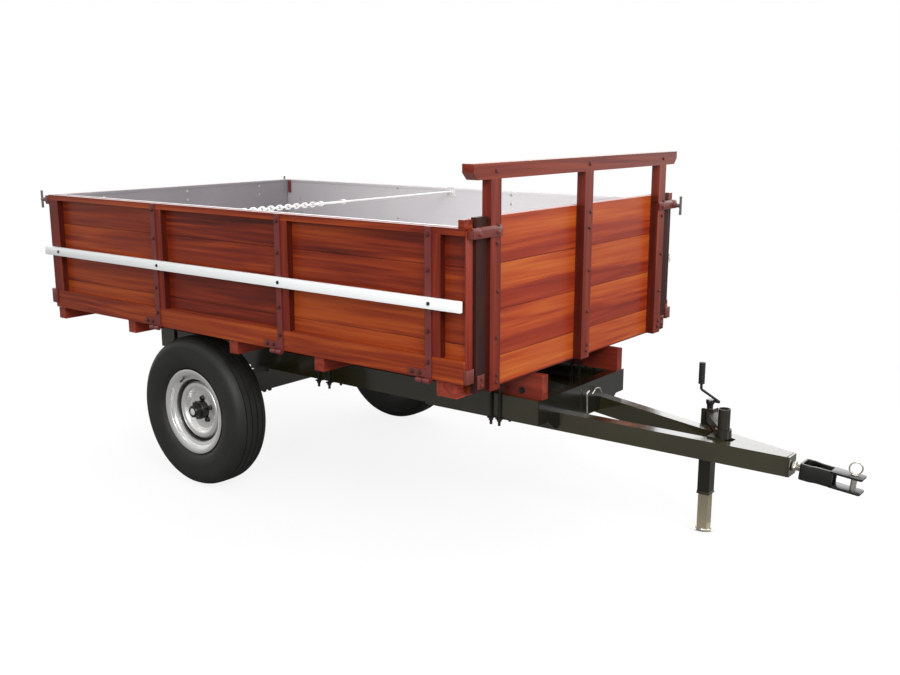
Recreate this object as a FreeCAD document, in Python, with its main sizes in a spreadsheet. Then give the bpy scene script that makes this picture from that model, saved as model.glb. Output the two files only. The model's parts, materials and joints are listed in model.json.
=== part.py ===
"""Utility trailer: a single-axle farm trailer with a timber box on a steel chassis.

X runs forward to the drawbar, Y to the left and Z up, in millimetres. The origin lies on
the ground, below the middle of the trailer's overall length and width.
"""

import FreeCAD
import Part

import math
import os

import Sketcher

SIZES = {
    "load box": {
        "gate_length": 3000,
        "gate_height": 654,
        "gate_bottom": 865,
        "body_width": 1889,
        "lining_thickness": 2,
        "gate_board_thickness": 24,
        "gate_board_rows": 4,
        "board_joint": 2,
        "gate_post_depth": 34,
        "gate_post_width": 86,
        "gate_top_rail": 30,
        "gate_bottom_rail": 100,
        "gate_cap_length": 28,
        "gate_cap_height": 36,
        "gate_clearance": 9,
        "tailgate_clearance": 6,
    },
    "side straps": {
        "strap_width": 34,
        "strap_lead": 6,
        "strap_thickness": 6,
        "strap_foot_length": 95,
        "strap_foot_height": 34,
    },
    "rub rail": {
        "rub_rail_height": 49,
        "rub_rail_thickness": 20,
        "rub_rail_bottom": 1174,
        "rub_rail_overhang": 46,
        "rail_bolt_radius": 9,
        "rail_bolt_height": 6,
    },
    "hinges": {
        "hinge_drop": 7,
        "hinge_offset": 15,
        "hinge_pin_radius": 6,
        "knuckle_radius": 11,
        "knuckle_length": 34,
        "knuckle_gap": 6,
        "hinge_bar_thickness": 6,
        "hinge_bar_reach": 300,
        "hinge_leaf_height": 58,
    },
    "floor": {
        "floor_thickness": 25,
        "floor_board_width": 145,
        "floor_top": 885,
        "bearer_height": 65,
        "bearer_width": 62,
        "front_bearer_width": 107,
        "bearer_overhang": 13,
    },
    "headboard": {
        "frame_front": 3030,
        "headboard_front": 3030,
        "headboard_post_width": 75,
        "headboard_post_depth": 45,
        "headboard_post_offset": 760,
        "headboard_bottom": 815,
        "headboard_height": 740,
        "headboard_board_height": 204,
        "headboard_board_thickness": 28,
        "headboard_gap_height": 157,
        "headboard_beam_height": 66,
        "headboard_beam_depth": 60,
        "headboard_beam_half": 917,
        "beam_chamfer_length": 30,
        "post_foot_drop": 4,
        "corner_post_width": 76,
        "corner_post_depth": 28,
        "corner_post_rise": 5,
    },
    "timber rails": {
        "timber_rail_height": 115,
        "timber_rail_width": 50,
        "timber_rail_outer": 380,
    },
    "steel chassis": {
        "steel_rail_height": 115,
        "steel_rail_flange": 55,
        "steel_rail_wall": 7,
        "steel_rail_outer": 405,
        "steel_rail_rear": 250,
        "crossmember_flange": 50,
        "crossmember_wall": 6,
        "gusset_half_width": 262,
        "gusset_top_half": 330,
        "gusset_drop": 50,
    },
    "axle": {
        "wheel_station": 1139,
        "tyre_radius": 407,
        "tyre_half_width": 104,
        "wheel_track_half": 810,
        "axle_bottom": 434,
        "axle_height": 111,
        "axle_depth": 90,
        "axle_half_length": 640,
        "stub_plate_thickness": 20,
        "stub_plate_depth": 130,
        "stub_plate_drop": 75,
        "spindle_radius": 28,
        "spindle_length": 190,
        "axle_pad_length": 150,
        "u_bolt_radius": 7,
        "u_bolt_tail": 38,
    },
    "wheel": {
        "bead_radius": 203,
        "rim_flange_radius": 232,
        "rim_half_width": 80,
        "rim_wall": 6,
        "rim_seat_half": 70,
        "rim_well_radius": 176,
        "rim_well_half": 26,
        "rim_well_offset": 16,
        "rim_well_slope": 5,
        "disc_offset": 8,
        "disc_wall": 7,
        "disc_ring_radius": 154,
        "disc_ring_width": 34,
        "disc_ring_height": 30,
        "disc_slope": 14,
        "disc_bore_radius": 52,
        "hub_radius": 50,
        "hub_flange_radius": 84,
        "hub_flange_thickness": 14,
        "hub_inner_length": 100,
        "hub_outer_length": 40,
        "hub_cap_radius": 34,
        "hub_cap_length": 36,
        "seat_gap": 0.3,
        "spindle_gap": 0.8,
    },
    "drawbar": {
        "drawbar_reach": 1035,
        "drawbar_rear_reach": 720,
        "drawbar_half_rear": 220,
        "drawbar_half_nose": 41,
        "drawbar_width": 62,
        "drawbar_height": 90,
        "drawbar_rear_bottom": 495,
        "drawbar_nose_bottom": 440,
        "slot_setback": 258,
        "nose_plate_thickness": 12,
    },
    "hitch": {
        "shank_radius": 16,
        "shank_reach": 55,
        "hitch_rise": 43,
        "clevis_length": 258,
        "clevis_half_width": 46,
        "clevis_nose_half": 36,
        "clevis_step_start": 50,
        "clevis_step_length": 25,
        "clevis_height": 72,
        "clevis_strap": 10,
        "ear_length": 120,
        "ear_gap": 54,
        "ear_chamfer": 6,
        "hitch_pin_radius": 12.5,
        "hitch_pin_clearance": 0.6,
        "hitch_pin_setback": 40,
        "hitch_pin_overrun": 8,
        "hitch_ring_radius": 25,
        "hitch_ring_wire": 6,
    },
    "jack": {
        "jack_post_station": 3756,
        "jack_post_radius": 27,
        "jack_post_wall": 5,
        "jack_post_top": 683,
        "jack_collar_radius": 36,
        "jack_collar_height": 40,
        "jack_plate_length": 75,
        "jack_plate_width": 100,
        "jack_plate_lead": 20,
        "jack_plate_thickness": 8,
        "jack_station": 3590,
        "jack_offset": 225,
        "jack_tube_side": 60,
        "jack_tube_wall": 4,
        "jack_tube_bottom": 180,
        "jack_tube_top": 605,
        "jack_bracket_bottom": 555,
        "jack_bracket_height": 42,
        "jack_bracket_width": 50,
        "jack_slide_gap": 0.5,
        "jack_leg_top": 410,
        "jack_foot_radius": 68,
        "jack_foot_thickness": 8,
        "jack_neck_radius": 15,
        "jack_boss_radius": 20,
        "jack_boss_height": 44,
        "jack_cap_height": 22,
        "crank_radius": 7,
        "crank_tail": 48,
        "crank_throw": 49,
        "crank_rise": 49,
        "crank_rod": 26,
        "crank_grip_radius": 15.5,
        "crank_grip_length": 105,
    },
    "latches": {
        "latch_drop": 30,
        "latch_reach": 100,
        "left_latch_reach": 24,
        "front_latch_reach": 67,
        "latch_hub_radius": 11,
        "latch_bar_radius": 7,
        "latch_bar_length": 100,
    },
    "box chain": {
        "chain_station": 1530,
        "chain_drop": 19,
        "link_length": 44,
        "link_width": 26,
        "link_wire": 7,
        "link_gap": 0.5,
        "tie_rod_radius": 6,
        "tie_body_radius": 14,
        "tie_body_length": 210,
        "tie_body_offset": 80,
        "tie_plate_side": 60,
        "tie_plate_thickness": 5,
    },
}

GATE_POST_SHARES = (0.0, 0.315, 0.628, 0.931)
BEARER_SHARES = (0.0, 0.225, 0.505, 0.705)
RAIL_BOLT_SHARES = (0.033, 0.337, 0.642, 0.945)
U_BOLT_SHARES = (0.13, 0.54, 0.566, 0.922, 0.938)
TAIL_HINGE_SHARES = (-0.7, 0.0, 0.7)

# Across the tyre's side: height above the rim's flange, and half width, as shares.
TYRE_SHARES = ((0.0, 0.665), (0.16, 0.87), (0.38, 0.985), (0.61, 1.0), (0.8, 0.94), (0.91, 0.82),
               (0.975, 0.6), (1.0, 0.3))

# Bolt heads, small round bars and turned pieces get this many flat faces around.
HEAD_SIDES = 6
BAR_SIDES = 8
KNUCKLE_SIDES = 12
RIM_SIDES = 28
TYRE_SIDES = 44

# The pull ring of the hitch pin is turned this far from facing the side, in degrees.
RING_TURN = 22

# The whole hitch hangs this far down from level, in degrees, and these are its sine and cosine.
HITCH_DROOP = 5
DROOP_RISE = math.sin(math.radians(HITCH_DROOP))
DROOP_RUN = math.cos(math.radians(HITCH_DROOP))


class Size:
    """A length that keeps both its value and the sheet formula it comes from."""

    def __init__(self, value, text):
        self.value = float(value)
        self.text = text

    @staticmethod
    def of(other):
        return other if isinstance(other, Size) else Size(other, repr(float(other)))

    def __add__(self, other):
        other = Size.of(other)
        return Size(self.value + other.value, f"({self.text} + {other.text})")

    def __radd__(self, other):
        return Size.of(other) + self

    def __sub__(self, other):
        other = Size.of(other)
        return Size(self.value - other.value, f"({self.text} - {other.text})")

    def __rsub__(self, other):
        return Size.of(other) - self

    def __mul__(self, other):
        other = Size.of(other)
        return Size(self.value * other.value, f"({self.text} * {other.text})")

    def __rmul__(self, other):
        return Size.of(other) * self

    def __truediv__(self, other):
        other = Size.of(other)
        return Size(self.value / other.value, f"({self.text} / {other.text})")

    def __neg__(self):
        return Size(-self.value, f"(0 - {self.text})")

    def __float__(self):
        return self.value


class Sheet:
    """The spreadsheet of driving sizes, read back as attributes."""

    def __init__(self, document):
        self.sheet = document.addObject("Spreadsheet::Sheet", "Sizes")
        row = 1
        for group, sizes in SIZES.items():
            self.sheet.set(f"A{row}", group)
            for alias, value in sizes.items():
                self.sheet.set(f"B{row}", alias)
                self.sheet.set(f"C{row}", str(value))
                self.sheet.setAlias(f"C{row}", alias)
                row += 1
        document.recompute()

    def __getattr__(self, alias):
        return Size(getattr(self.sheet, alias), f"Sizes.{alias}")


DOC = FreeCAD.newDocument("UtilityTrailer")
S = Sheet(DOC)
ZERO = Size(0, "0")
X_AXIS = FreeCAD.Vector(1, 0, 0)
Y_AXIS = FreeCAD.Vector(0, 1, 0)
Z_AXIS = FreeCAD.Vector(0, 0, 1)
NODES = {}
TINY = 1e-9


def place(item, x=ZERO, y=ZERO, z=ZERO, axis=None, angle=None):
    """Set an object's placement, bound to the sheet."""
    spot = FreeCAD.Vector(float(x), float(y), float(z))
    turn = FreeCAD.Rotation(axis, float(angle)) if axis is not None else FreeCAD.Rotation()
    item.Placement = FreeCAD.Placement(spot, turn)
    for letter, length in zip("xyz", (x, y, z)):
        item.setExpression(f"Placement.Base.{letter}", Size.of(length).text)
    return item


def box(name, size, at, axis=None, angle=None):
    """A block of the given length, width and height with its low corner at a point."""
    item = DOC.addObject("Part::Box", name)
    for prop, length in zip(("Length", "Width", "Height"), size):
        setattr(item, prop, float(length))
        item.setExpression(prop, Size.of(length).text)
    return place(item, *at, axis=axis, angle=angle)


def cylinder(name, radius, height, at, axis=None, angle=None):
    """A round bar along Z, or along the direction that the turn gives it."""
    item = DOC.addObject("Part::Cylinder", name)
    for prop, length in (("Radius", radius), ("Height", height)):
        setattr(item, prop, float(length))
        item.setExpression(prop, Size.of(length).text)
    return place(item, *at, axis=axis, angle=angle)


def bar_along_y(name, radius, height, at):
    return cylinder(name, radius, height, at, X_AXIS, -90)


def bar_along_x(name, radius, height, at):
    return cylinder(name, radius, height, at, Y_AXIS, 90)


def faceted(name, sides, radius, height, at, axis=None, angle=None):
    """A round bar with a few flat faces around it."""
    item = DOC.addObject("Part::Prism", name)
    item.Polygon = sides
    for prop, length in (("Circumradius", radius), ("Height", height)):
        setattr(item, prop, float(length))
        item.setExpression(prop, Size.of(length).text)
    return place(item, *at, axis=axis, angle=angle)


def faceted_along_y(name, sides, radius, height, at):
    return faceted(name, sides, radius, height, at, X_AXIS, -90)


def faceted_along_x(name, sides, radius, height, at):
    return faceted(name, sides, radius, height, at, Y_AXIS, 90)


def ring_loft(name, sides, profile, at):
    """A solid about the axle's line in flat faces, through rings given by radius and place along Y."""
    turns = [2 * math.pi * number / sides for number in range(sides)]
    rings = [[FreeCAD.Vector(float(radius) * math.cos(turn), float(along), float(radius) * math.sin(turn))
              for turn in turns]
             for radius, along in profile]
    outlines = [rings[0], rings[-1]]
    for ring, after in zip(rings, rings[1:]):
        outlines += [[ring[number - 1], ring[number], after[number], after[number - 1]]
                     for number in range(sides)]
    faces = [Part.Face(Part.makePolygon(outline + outline[:1])) for outline in outlines]
    shell = Part.makeShell(faces)
    shell.sewShape()
    solid = Part.makeSolid(shell)
    item = DOC.addObject("Part::Feature", name)
    item.Shape = solid if solid.Volume > 0 else solid.reversed()
    return place(item, *at)


def cut(name, base, tool):
    item = DOC.addObject("Part::Cut", name)
    item.Base = base
    item.Tool = tool
    return item


def fuse(name, pieces):
    item = DOC.addObject("Part::MultiFuse", name)
    item.Shapes = list(pieces)
    return item


def group(name, pieces):
    """Separate solids of one node."""
    item = DOC.addObject("Part::Compound", name)
    item.Links = list(pieces)
    return item


def mirror(name, source, normal=Y_AXIS):
    item = DOC.addObject("Part::Mirroring", name)
    item.Source = source
    item.Normal = normal
    return item


def node(name, item):
    """Mark an object as a finished sub-part."""
    item.Label = name
    NODES[name] = item
    return item


def mirrored_pair(name, source):
    """One node that holds a right-hand piece and its left-hand twin."""
    return node(name, group(name + "_pair", [source, mirror(name + "_twin", source)]))


def sketch_on(body, role, points):
    """A closed outline of straight edges, each corner tied to the sheet."""
    sketch = body.newObject("Sketcher::SketchObject", body.Name + "_outline")
    plane = next(item for item in body.Origin.OriginFeatures if item.Role == role)
    sketch.AttachmentSupport = [(plane, "")]
    sketch.MapMode = "FlatFace"
    spots = [FreeCAD.Vector(float(u), float(v), 0) for u, v in points]
    count = len(spots)
    for index in range(count):
        sketch.addGeometry(Part.LineSegment(spots[index], spots[(index + 1) % count]), False)
    for index in range(count):
        after = (index + 1) % count
        sketch.addConstraint(Sketcher.Constraint("Coincident", index, 2, after, 1))
    for index, (u, v) in enumerate(points):
        for kind, axis_id, length in (("DistanceX", -2, u), ("DistanceY", -1, v)):
            if abs(float(length)) < TINY:
                sketch.addConstraint(Sketcher.Constraint("PointOnObject", index, 1, axis_id))
                continue
            rule = Sketcher.Constraint(kind, -1, 1, index, 1, float(length))
            number = sketch.addConstraint(rule)
            sketch.setExpression(f"Constraints[{number}]", Size.of(length).text)
    return sketch


def pad(name, role, points, depth, at, reverse=False):
    """A body with one padded outline."""
    body = DOC.addObject("PartDesign::Body", name)
    sketch = sketch_on(body, role, points)
    feature = body.newObject("PartDesign::Pad", name + "_pad")
    feature.Profile = sketch
    feature.Length = float(depth)
    feature.setExpression("Length", Size.of(depth).text)
    feature.Reversed = reverse
    return place(body, *at)


# Stations along the trailer, from the rear edge of the side gates.
NOSE_REACH = S.frame_front + S.drawbar_reach + S.nose_plate_thickness
HITCH_REACH = S.shank_reach - S.nose_plate_thickness + S.clevis_length
EAR_TOP = S.ear_gap / 2 + S.clevis_strap
FRONT_REACH = NOSE_REACH + HITCH_REACH * DROOP_RUN + EAR_TOP * DROOP_RISE
REAR = (S.latch_reach - FRONT_REACH) / 2
HALF = S.body_width / 2
GATE_THICKNESS = S.lining_thickness + S.gate_board_thickness + S.gate_post_depth
GATE_INNER = HALF - GATE_THICKNESS
GATE_TOP = S.gate_bottom + S.gate_height
GATE_POST_HEIGHT = S.gate_height - S.gate_bottom_rail - S.gate_top_rail
FRAME_FRONT = REAR + S.frame_front
FLOOR_HALF = GATE_INNER - S.gate_clearance
FLOOR_BOTTOM = S.floor_top - S.floor_thickness
BEARER_BOTTOM = FLOOR_BOTTOM - S.bearer_height
TIMBER_BOTTOM = BEARER_BOTTOM - S.timber_rail_height
STEEL_BOTTOM = TIMBER_BOTTOM - S.steel_rail_height
HINGE_Z = S.gate_bottom - S.hinge_drop
SIDE_HINGE_Y = HALF + S.hinge_offset
TAIL_HINGE_X = REAR - S.hinge_offset
HEADBOARD_TOP = S.headboard_bottom + S.headboard_height
BEAM_BOTTOM = HEADBOARD_TOP + S.headboard_gap_height
BOARD_FRONT = REAR + S.headboard_front - S.headboard_post_depth
HEADBOARD_BACK = BOARD_FRONT - S.headboard_board_thickness - S.lining_thickness
WHEEL_X = REAR + S.wheel_station
WHEEL_Y = S.wheel_track_half
AXLE_TOP = S.axle_bottom + S.axle_height


def chassis_rails():
    """Two channels, open towards each other, under the timber rails."""
    wall = S.steel_rail_wall
    flange = S.steel_rail_flange
    tall = S.steel_rail_height
    outline = [(ZERO, ZERO), (flange, ZERO), (flange, wall), (wall, wall),
               (wall, tall - wall), (flange, tall - wall), (flange, tall), (ZERO, tall)]
    length = S.frame_front - S.steel_rail_rear - S.crossmember_wall
    rail = pad("steel_rail", "YZ_Plane", outline, length,
               (REAR + S.steel_rail_rear, -S.steel_rail_outer, STEEL_BOTTOM))
    mirrored_pair("chassis_rails", rail)


def channel_across(name, front_x, half, bottom, tall, facing_front):
    """A channel across the frame with its web at front_x."""
    wall = S.crossmember_wall
    flange = S.crossmember_flange
    side = -1 if facing_front else 1
    outline = [(ZERO, ZERO), (side * flange, ZERO), (side * flange, wall), (side * wall, wall),
               (side * wall, tall - wall), (side * flange, tall - wall),
               (side * flange, tall), (ZERO, tall)]
    return pad(name, "XZ_Plane", outline, half + half, (front_x, -half, bottom), reverse=True)


def crossmembers():
    """The front channel with its deeper middle, and the rear and middle channels."""
    tall = S.steel_rail_height
    front = channel_across("front_channel", FRAME_FRONT, S.steel_rail_outer, STEEL_BOTTOM, tall, True)
    low_half = S.gusset_half_width
    top_half = S.gusset_top_half
    drop = S.gusset_drop
    gusset = pad("front_gusset", "YZ_Plane", [(-low_half, ZERO), (low_half, ZERO), (top_half, drop),
                                              (-top_half, drop)],
                 S.crossmember_wall, (FRAME_FRONT - S.crossmember_wall, ZERO, STEEL_BOTTOM - drop))
    coped = cut("front_coped", fuse("front_plate", [front, gusset]), NODES["chassis_rails"])
    node("front_crossmember", cut("front_notched", coped, NODES["drawbar_beams"]))
    inner = S.steel_rail_outer - S.steel_rail_flange
    rear = channel_across("rear_channel", REAR + S.steel_rail_rear, inner, STEEL_BOTTOM, tall, False)
    middle = channel_across("middle_channel", FRAME_FRONT - S.drawbar_rear_reach, inner, STEEL_BOTTOM,
                            tall, True)
    node("inner_crossmembers", group("inner_channels", [rear, middle]))


def drawbar_slope():
    """How far the drawbar drops for each length along the trailer."""
    return (S.drawbar_rear_bottom - S.drawbar_nose_bottom) / S.drawbar_reach


def drawbar_beams():
    """Two square tubes that close from under the frame to the nose and slope down to it."""
    rear_x = FRAME_FRONT - S.drawbar_rear_reach
    nose_x = FRAME_FRONT + S.drawbar_reach
    spread = (S.drawbar_half_rear - S.drawbar_half_nose) / S.drawbar_reach
    rear_half = S.drawbar_half_rear + spread * S.drawbar_rear_reach
    rear_bottom = S.drawbar_rear_bottom + drawbar_slope() * S.drawbar_rear_reach
    beam = DOC.addObject("Part::Feature", "right_beam")
    beam.Shape = beam_shape(float(rear_x), float(nose_x), float(rear_half), float(rear_bottom),
                            float(nose_x - S.slot_setback), float(S.seat_gap) / 2)
    mirrored_pair("drawbar_beams", beam)
    nose = box("nose_plate", (S.nose_plate_thickness, S.drawbar_half_nose * 2, S.drawbar_height),
               (nose_x, -S.drawbar_half_nose, S.drawbar_nose_bottom))
    node("drawbar_nose", nose)


def beam_shape(rear_x, nose_x, rear_half, rear_bottom, slot_x, gap):
    """The right-hand beam, skewed in plan and in height, which closes to the middle ahead of slot_x."""
    width = float(S.drawbar_width)
    tall = float(S.drawbar_height)
    half = float(S.drawbar_half_nose)
    bottom = float(S.drawbar_nose_bottom)

    def section(x, outer, inner, low):
        corners = [FreeCAD.Vector(x, -outer, low), FreeCAD.Vector(x, -inner, low),
                   FreeCAD.Vector(x, -inner, low + tall), FreeCAD.Vector(x, -outer, low + tall)]
        return Part.makePolygon(corners + corners[:1])

    share = (slot_x - rear_x) / (nose_x - rear_x)
    slot_outer = rear_half + (half - rear_half) * share
    slot_low = rear_bottom + (bottom - rear_bottom) * share
    first = Part.makeLoft([section(rear_x, rear_half, rear_half - width, rear_bottom),
                           section(slot_x, slot_outer, slot_outer - width, slot_low)], True, True)
    last = Part.makeLoft([section(slot_x, slot_outer, gap, slot_low),
                          section(nose_x, half, gap, bottom)], True, True)
    return first.fuse(last).removeSplitter()


def axle():
    """The square beam under the rails, its end plates and the wheel spindles."""
    half = S.axle_half_length
    beam = box("axle_beam_block", (S.axle_depth, half * 2, S.axle_height),
               (WHEEL_X - S.axle_depth / 2, -half, S.axle_bottom))
    node("axle_beam", beam)
    pad_half = S.axle_pad_length / 2
    pad_block = box("axle_pad", (S.axle_pad_length, S.steel_rail_flange, STEEL_BOTTOM - AXLE_TOP),
                    (WHEEL_X - pad_half, -S.steel_rail_outer, AXLE_TOP))
    mirrored_pair("axle_pads", pad_block)
    plate = box("stub_plate", (S.stub_plate_depth, S.stub_plate_thickness,
                               S.axle_height + S.stub_plate_drop),
                (WHEEL_X - S.stub_plate_depth / 2, -half - S.stub_plate_thickness,
                 S.axle_bottom - S.stub_plate_drop))
    spindle = bar_along_y("spindle", S.spindle_radius, S.spindle_length,
                          (WHEEL_X, -half - S.spindle_length, S.tyre_radius))
    mirrored_pair("axle_stubs", fuse("stub", [plate, spindle]))


def timber_frame():
    """The two timber rails and the bearers across them."""
    rail = box("timber_rail", (S.frame_front, S.timber_rail_width, S.timber_rail_height),
               (REAR, -S.timber_rail_outer, TIMBER_BOTTOM))
    mirrored_pair("timber_rails", rail)
    places = [(REAR + S.gate_length * share, S.bearer_width) for share in BEARER_SHARES]
    places.append((HEADBOARD_BACK - S.front_bearer_width, S.front_bearer_width))
    half = HALF - S.bearer_overhang
    bearers = []
    for number, (x, width) in enumerate(places):
        bearers.append(box(f"bearer_{number}", (width, half * 2, S.bearer_height),
                           (x, -half, BEARER_BOTTOM)))
    node("cross_bearers", group("bearers", bearers))


def u_bolts():
    """Clamps that hold each timber rail down on its steel rail."""
    radius = S.u_bolt_radius
    outer = S.steel_rail_outer + radius
    inner = S.timber_rail_outer - S.timber_rail_width - radius
    tail = STEEL_BOTTOM - S.u_bolt_tail
    clamps = []
    for number, share in enumerate(U_BOLT_SHARES):
        x = REAR + S.gate_length * share
        legs = [faceted(f"u_leg_{number}_{side}", BAR_SIDES, radius, BEARER_BOTTOM - tail + radius,
                        (x, -y, tail))
                for side, y in enumerate((outer, inner))]
        bow = faceted_along_y(f"u_bow_{number}", BAR_SIDES, radius, outer - inner,
                              (x, -outer, BEARER_BOTTOM + radius))
        plate = box(f"u_plate_{number}", (radius * 4, outer - inner + radius * 4, S.crossmember_wall),
                    (x - radius * 2, -outer - radius * 2, STEEL_BOTTOM - S.crossmember_wall))
        clamps.append(fuse(f"u_bolt_{number}", legs + [bow, plate]))
    mirrored_pair("u_bolts", group("u_bolt_row", clamps))


def floor():
    """Boards along the trailer with thin joints, and the sheet that lines them."""
    start = REAR + GATE_THICKNESS + S.tailgate_clearance
    length = HEADBOARD_BACK - start
    rows = int(2 * FLOOR_HALF.value // S.floor_board_width.value)
    pitch = FLOOR_HALF * 2 / rows
    boards = []
    for row in range(rows):
        boards.append(box(f"floor_board_{row}", (length, pitch - S.board_joint, S.floor_thickness),
                          (start, -FLOOR_HALF + pitch * row + S.board_joint / 2, FLOOR_BOTTOM)))
    node("floor_boards", group("floor", boards))
    node("floor_lining", box("floor_sheet", (length, FLOOR_HALF * 2, S.lining_thickness),
                             (start, -FLOOR_HALF, S.floor_top)))


def headboard():
    """Boards, the three posts in front of them and the beam across the top."""
    back = HEADBOARD_BACK + S.lining_thickness
    top = HEADBOARD_TOP
    boards = []
    while float(top - S.headboard_bottom) > TINY:
        low = top - S.headboard_board_height
        if float(low) < float(S.headboard_bottom):
            low = S.headboard_bottom
        boards.append(box(f"headboard_board_{len(boards)}",
                          (S.headboard_board_thickness, FLOOR_HALF * 2, top - low - S.board_joint),
                          (back, -FLOOR_HALF, low)))
        top = low
    node("headboard_boards", group("headboard", boards))
    post_bottom = S.headboard_bottom - S.post_foot_drop
    posts = []
    for number, y in enumerate((-S.headboard_post_offset, ZERO, S.headboard_post_offset)):
        posts.append(box(f"headboard_post_{number}",
                         (S.headboard_post_depth, S.headboard_post_width, BEAM_BOTTOM - post_bottom),
                         (REAR + S.headboard_front - S.headboard_post_depth,
                          y - S.headboard_post_width / 2, post_bottom)))
    node("headboard_posts", group("posts", posts))
    half = S.headboard_beam_half
    flat = half - S.beam_chamfer_length
    outline = [(-flat, ZERO), (flat, ZERO), (half, S.beam_chamfer_length), (half, S.headboard_beam_height),
               (-half, S.headboard_beam_height), (-half, S.beam_chamfer_length)]
    node("headboard_beam", pad("beam", "YZ_Plane", outline, S.headboard_beam_depth,
                               (REAR + S.headboard_front - S.headboard_beam_depth, ZERO, BEAM_BOTTOM)))
    sheet_bottom = S.floor_top + S.lining_thickness
    node("headboard_lining", box("headboard_sheet",
                                 (S.lining_thickness, FLOOR_HALF * 2,
                                  HEADBOARD_TOP - sheet_bottom),
                                 (HEADBOARD_BACK, -FLOOR_HALF, sheet_bottom)))
    corner = box("corner_post", (S.corner_post_depth, S.corner_post_width,
                                 HEADBOARD_TOP + S.corner_post_rise - S.headboard_bottom),
                 (BOARD_FRONT, -FLOOR_HALF, S.headboard_bottom))
    mirrored_pair("corner_posts", corner)


def side_gate():
    """The right-hand gate's pieces, with their twins for the left."""
    outer = -HALF
    inside = outer + S.gate_post_depth
    top = box("gate_top", (S.gate_length, S.gate_post_depth, S.gate_top_rail),
              (REAR, outer, GATE_TOP - S.gate_top_rail))
    cap = box("gate_cap", (S.gate_cap_length, GATE_THICKNESS, S.gate_cap_height),
              (REAR + S.gate_length - S.gate_cap_length, outer, GATE_TOP))
    low = box("gate_low", (S.gate_length, S.gate_post_depth, S.gate_bottom_rail),
              (REAR, outer, S.gate_bottom))
    twin_nodes("gate_rails", group("gate_rail_group", [fuse("gate_top_solid", [top, cap]), low]))
    posts = []
    for number, share in enumerate(GATE_POST_SHARES):
        posts.append(box(f"gate_post_{number}", (S.gate_post_width, S.gate_post_depth, GATE_POST_HEIGHT),
                         (REAR + S.gate_length * share, outer, S.gate_bottom + S.gate_bottom_rail)))
    twin_nodes("gate_posts", group("gate_post_group", posts))
    rows = int(S.gate_board_rows.value)
    pitch = S.gate_height / S.gate_board_rows
    boards = []
    for row in range(rows):
        boards.append(box(f"gate_board_{row}",
                          (S.gate_length, S.gate_board_thickness, pitch - S.board_joint),
                          (REAR, inside, S.gate_bottom + pitch * row + S.board_joint / 2)))
    twin_nodes("gate_boards", group("gate_board_group", boards))
    sheet_bottom = S.floor_top + S.lining_thickness + S.tailgate_clearance
    twin_nodes("gate_lining", box("gate_sheet", (S.gate_length, S.lining_thickness, GATE_TOP - sheet_bottom),
                                  (REAR, inside + S.gate_board_thickness, sheet_bottom)))
    twin_nodes("rub_rail", rub_rail(outer - S.strap_thickness - S.rub_rail_thickness))
    straps = []
    for number, share in enumerate(GATE_POST_SHARES[1:]):
        x = REAR + S.gate_length * share + S.strap_lead
        straps.append(strap(f"side_strap_{number}", x, outer))
    twin_nodes("gate_straps", group("gate_strap_group", straps))


def rub_rail(face):
    """The bar along the gate's outside with the heads of the bolts that hold it."""
    bar = box("rub_rail_bar", (S.gate_length + S.rub_rail_overhang, S.rub_rail_thickness, S.rub_rail_height),
              (REAR - S.rub_rail_overhang, face, S.rub_rail_bottom))
    middle = S.rub_rail_bottom + S.rub_rail_height / 2
    bolts = [faceted_along_y(f"rail_bolt_{number}", HEAD_SIDES, S.rail_bolt_radius, S.rail_bolt_height,
                             (REAR + S.gate_length * share, face - S.rail_bolt_height, middle))
             for number, share in enumerate(RAIL_BOLT_SHARES)]
    return fuse("rub_rail_solid", [bar] + bolts)


def strap(name, x, outer):
    """A hinge strap up the gate with its foot and knuckle at the bottom."""
    bar = box(name + "_bar", (S.strap_width, S.strap_thickness, GATE_TOP - HINGE_Z),
              (x, outer - S.strap_thickness, HINGE_Z))
    foot = box(name + "_foot", (S.strap_foot_length, S.strap_thickness, S.strap_foot_height),
               (x - S.strap_foot_length, outer - S.strap_thickness, S.gate_bottom + S.strap_thickness))
    knuckle = faceted_along_x(name + "_knuckle", KNUCKLE_SIDES, S.knuckle_radius, S.knuckle_length,
                              (x, -SIDE_HINGE_Y, HINGE_Z))
    bore = faceted_along_x(name + "_bore", KNUCKLE_SIDES, S.hinge_pin_radius + S.spindle_gap,
                           S.strap_width, (x, -SIDE_HINGE_Y, HINGE_Z))
    return cut(name, fuse(name + "_solid", [bar, foot, knuckle]), bore)


def side_hinges():
    """The bars under the floor that carry the side gates' hinge pins."""
    hinges = []
    for number, share in enumerate(GATE_POST_SHARES[1:]):
        pin_x = REAR + S.gate_length * share + S.strap_lead
        x = pin_x - S.knuckle_length - S.knuckle_gap
        reach = S.hinge_bar_reach
        bar = box(f"side_bar_{number}", (S.knuckle_length, reach, S.hinge_bar_thickness),
                  (x, -SIDE_HINGE_Y, FLOOR_BOTTOM - S.hinge_bar_thickness))
        knuckle = faceted_along_x(f"side_knuckle_{number}", KNUCKLE_SIDES, S.knuckle_radius,
                                  S.knuckle_length, (x, -SIDE_HINGE_Y, HINGE_Z))
        pin = bar_along_x(f"side_pin_{number}", S.hinge_pin_radius,
                          S.knuckle_length * 2 + S.knuckle_gap, (x, -SIDE_HINGE_Y, HINGE_Z))
        hinges.append(fuse(f"side_hinge_{number}", [bar, knuckle, pin]))
    mirrored_pair("side_hinges", group("side_hinge_row", hinges))


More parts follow.
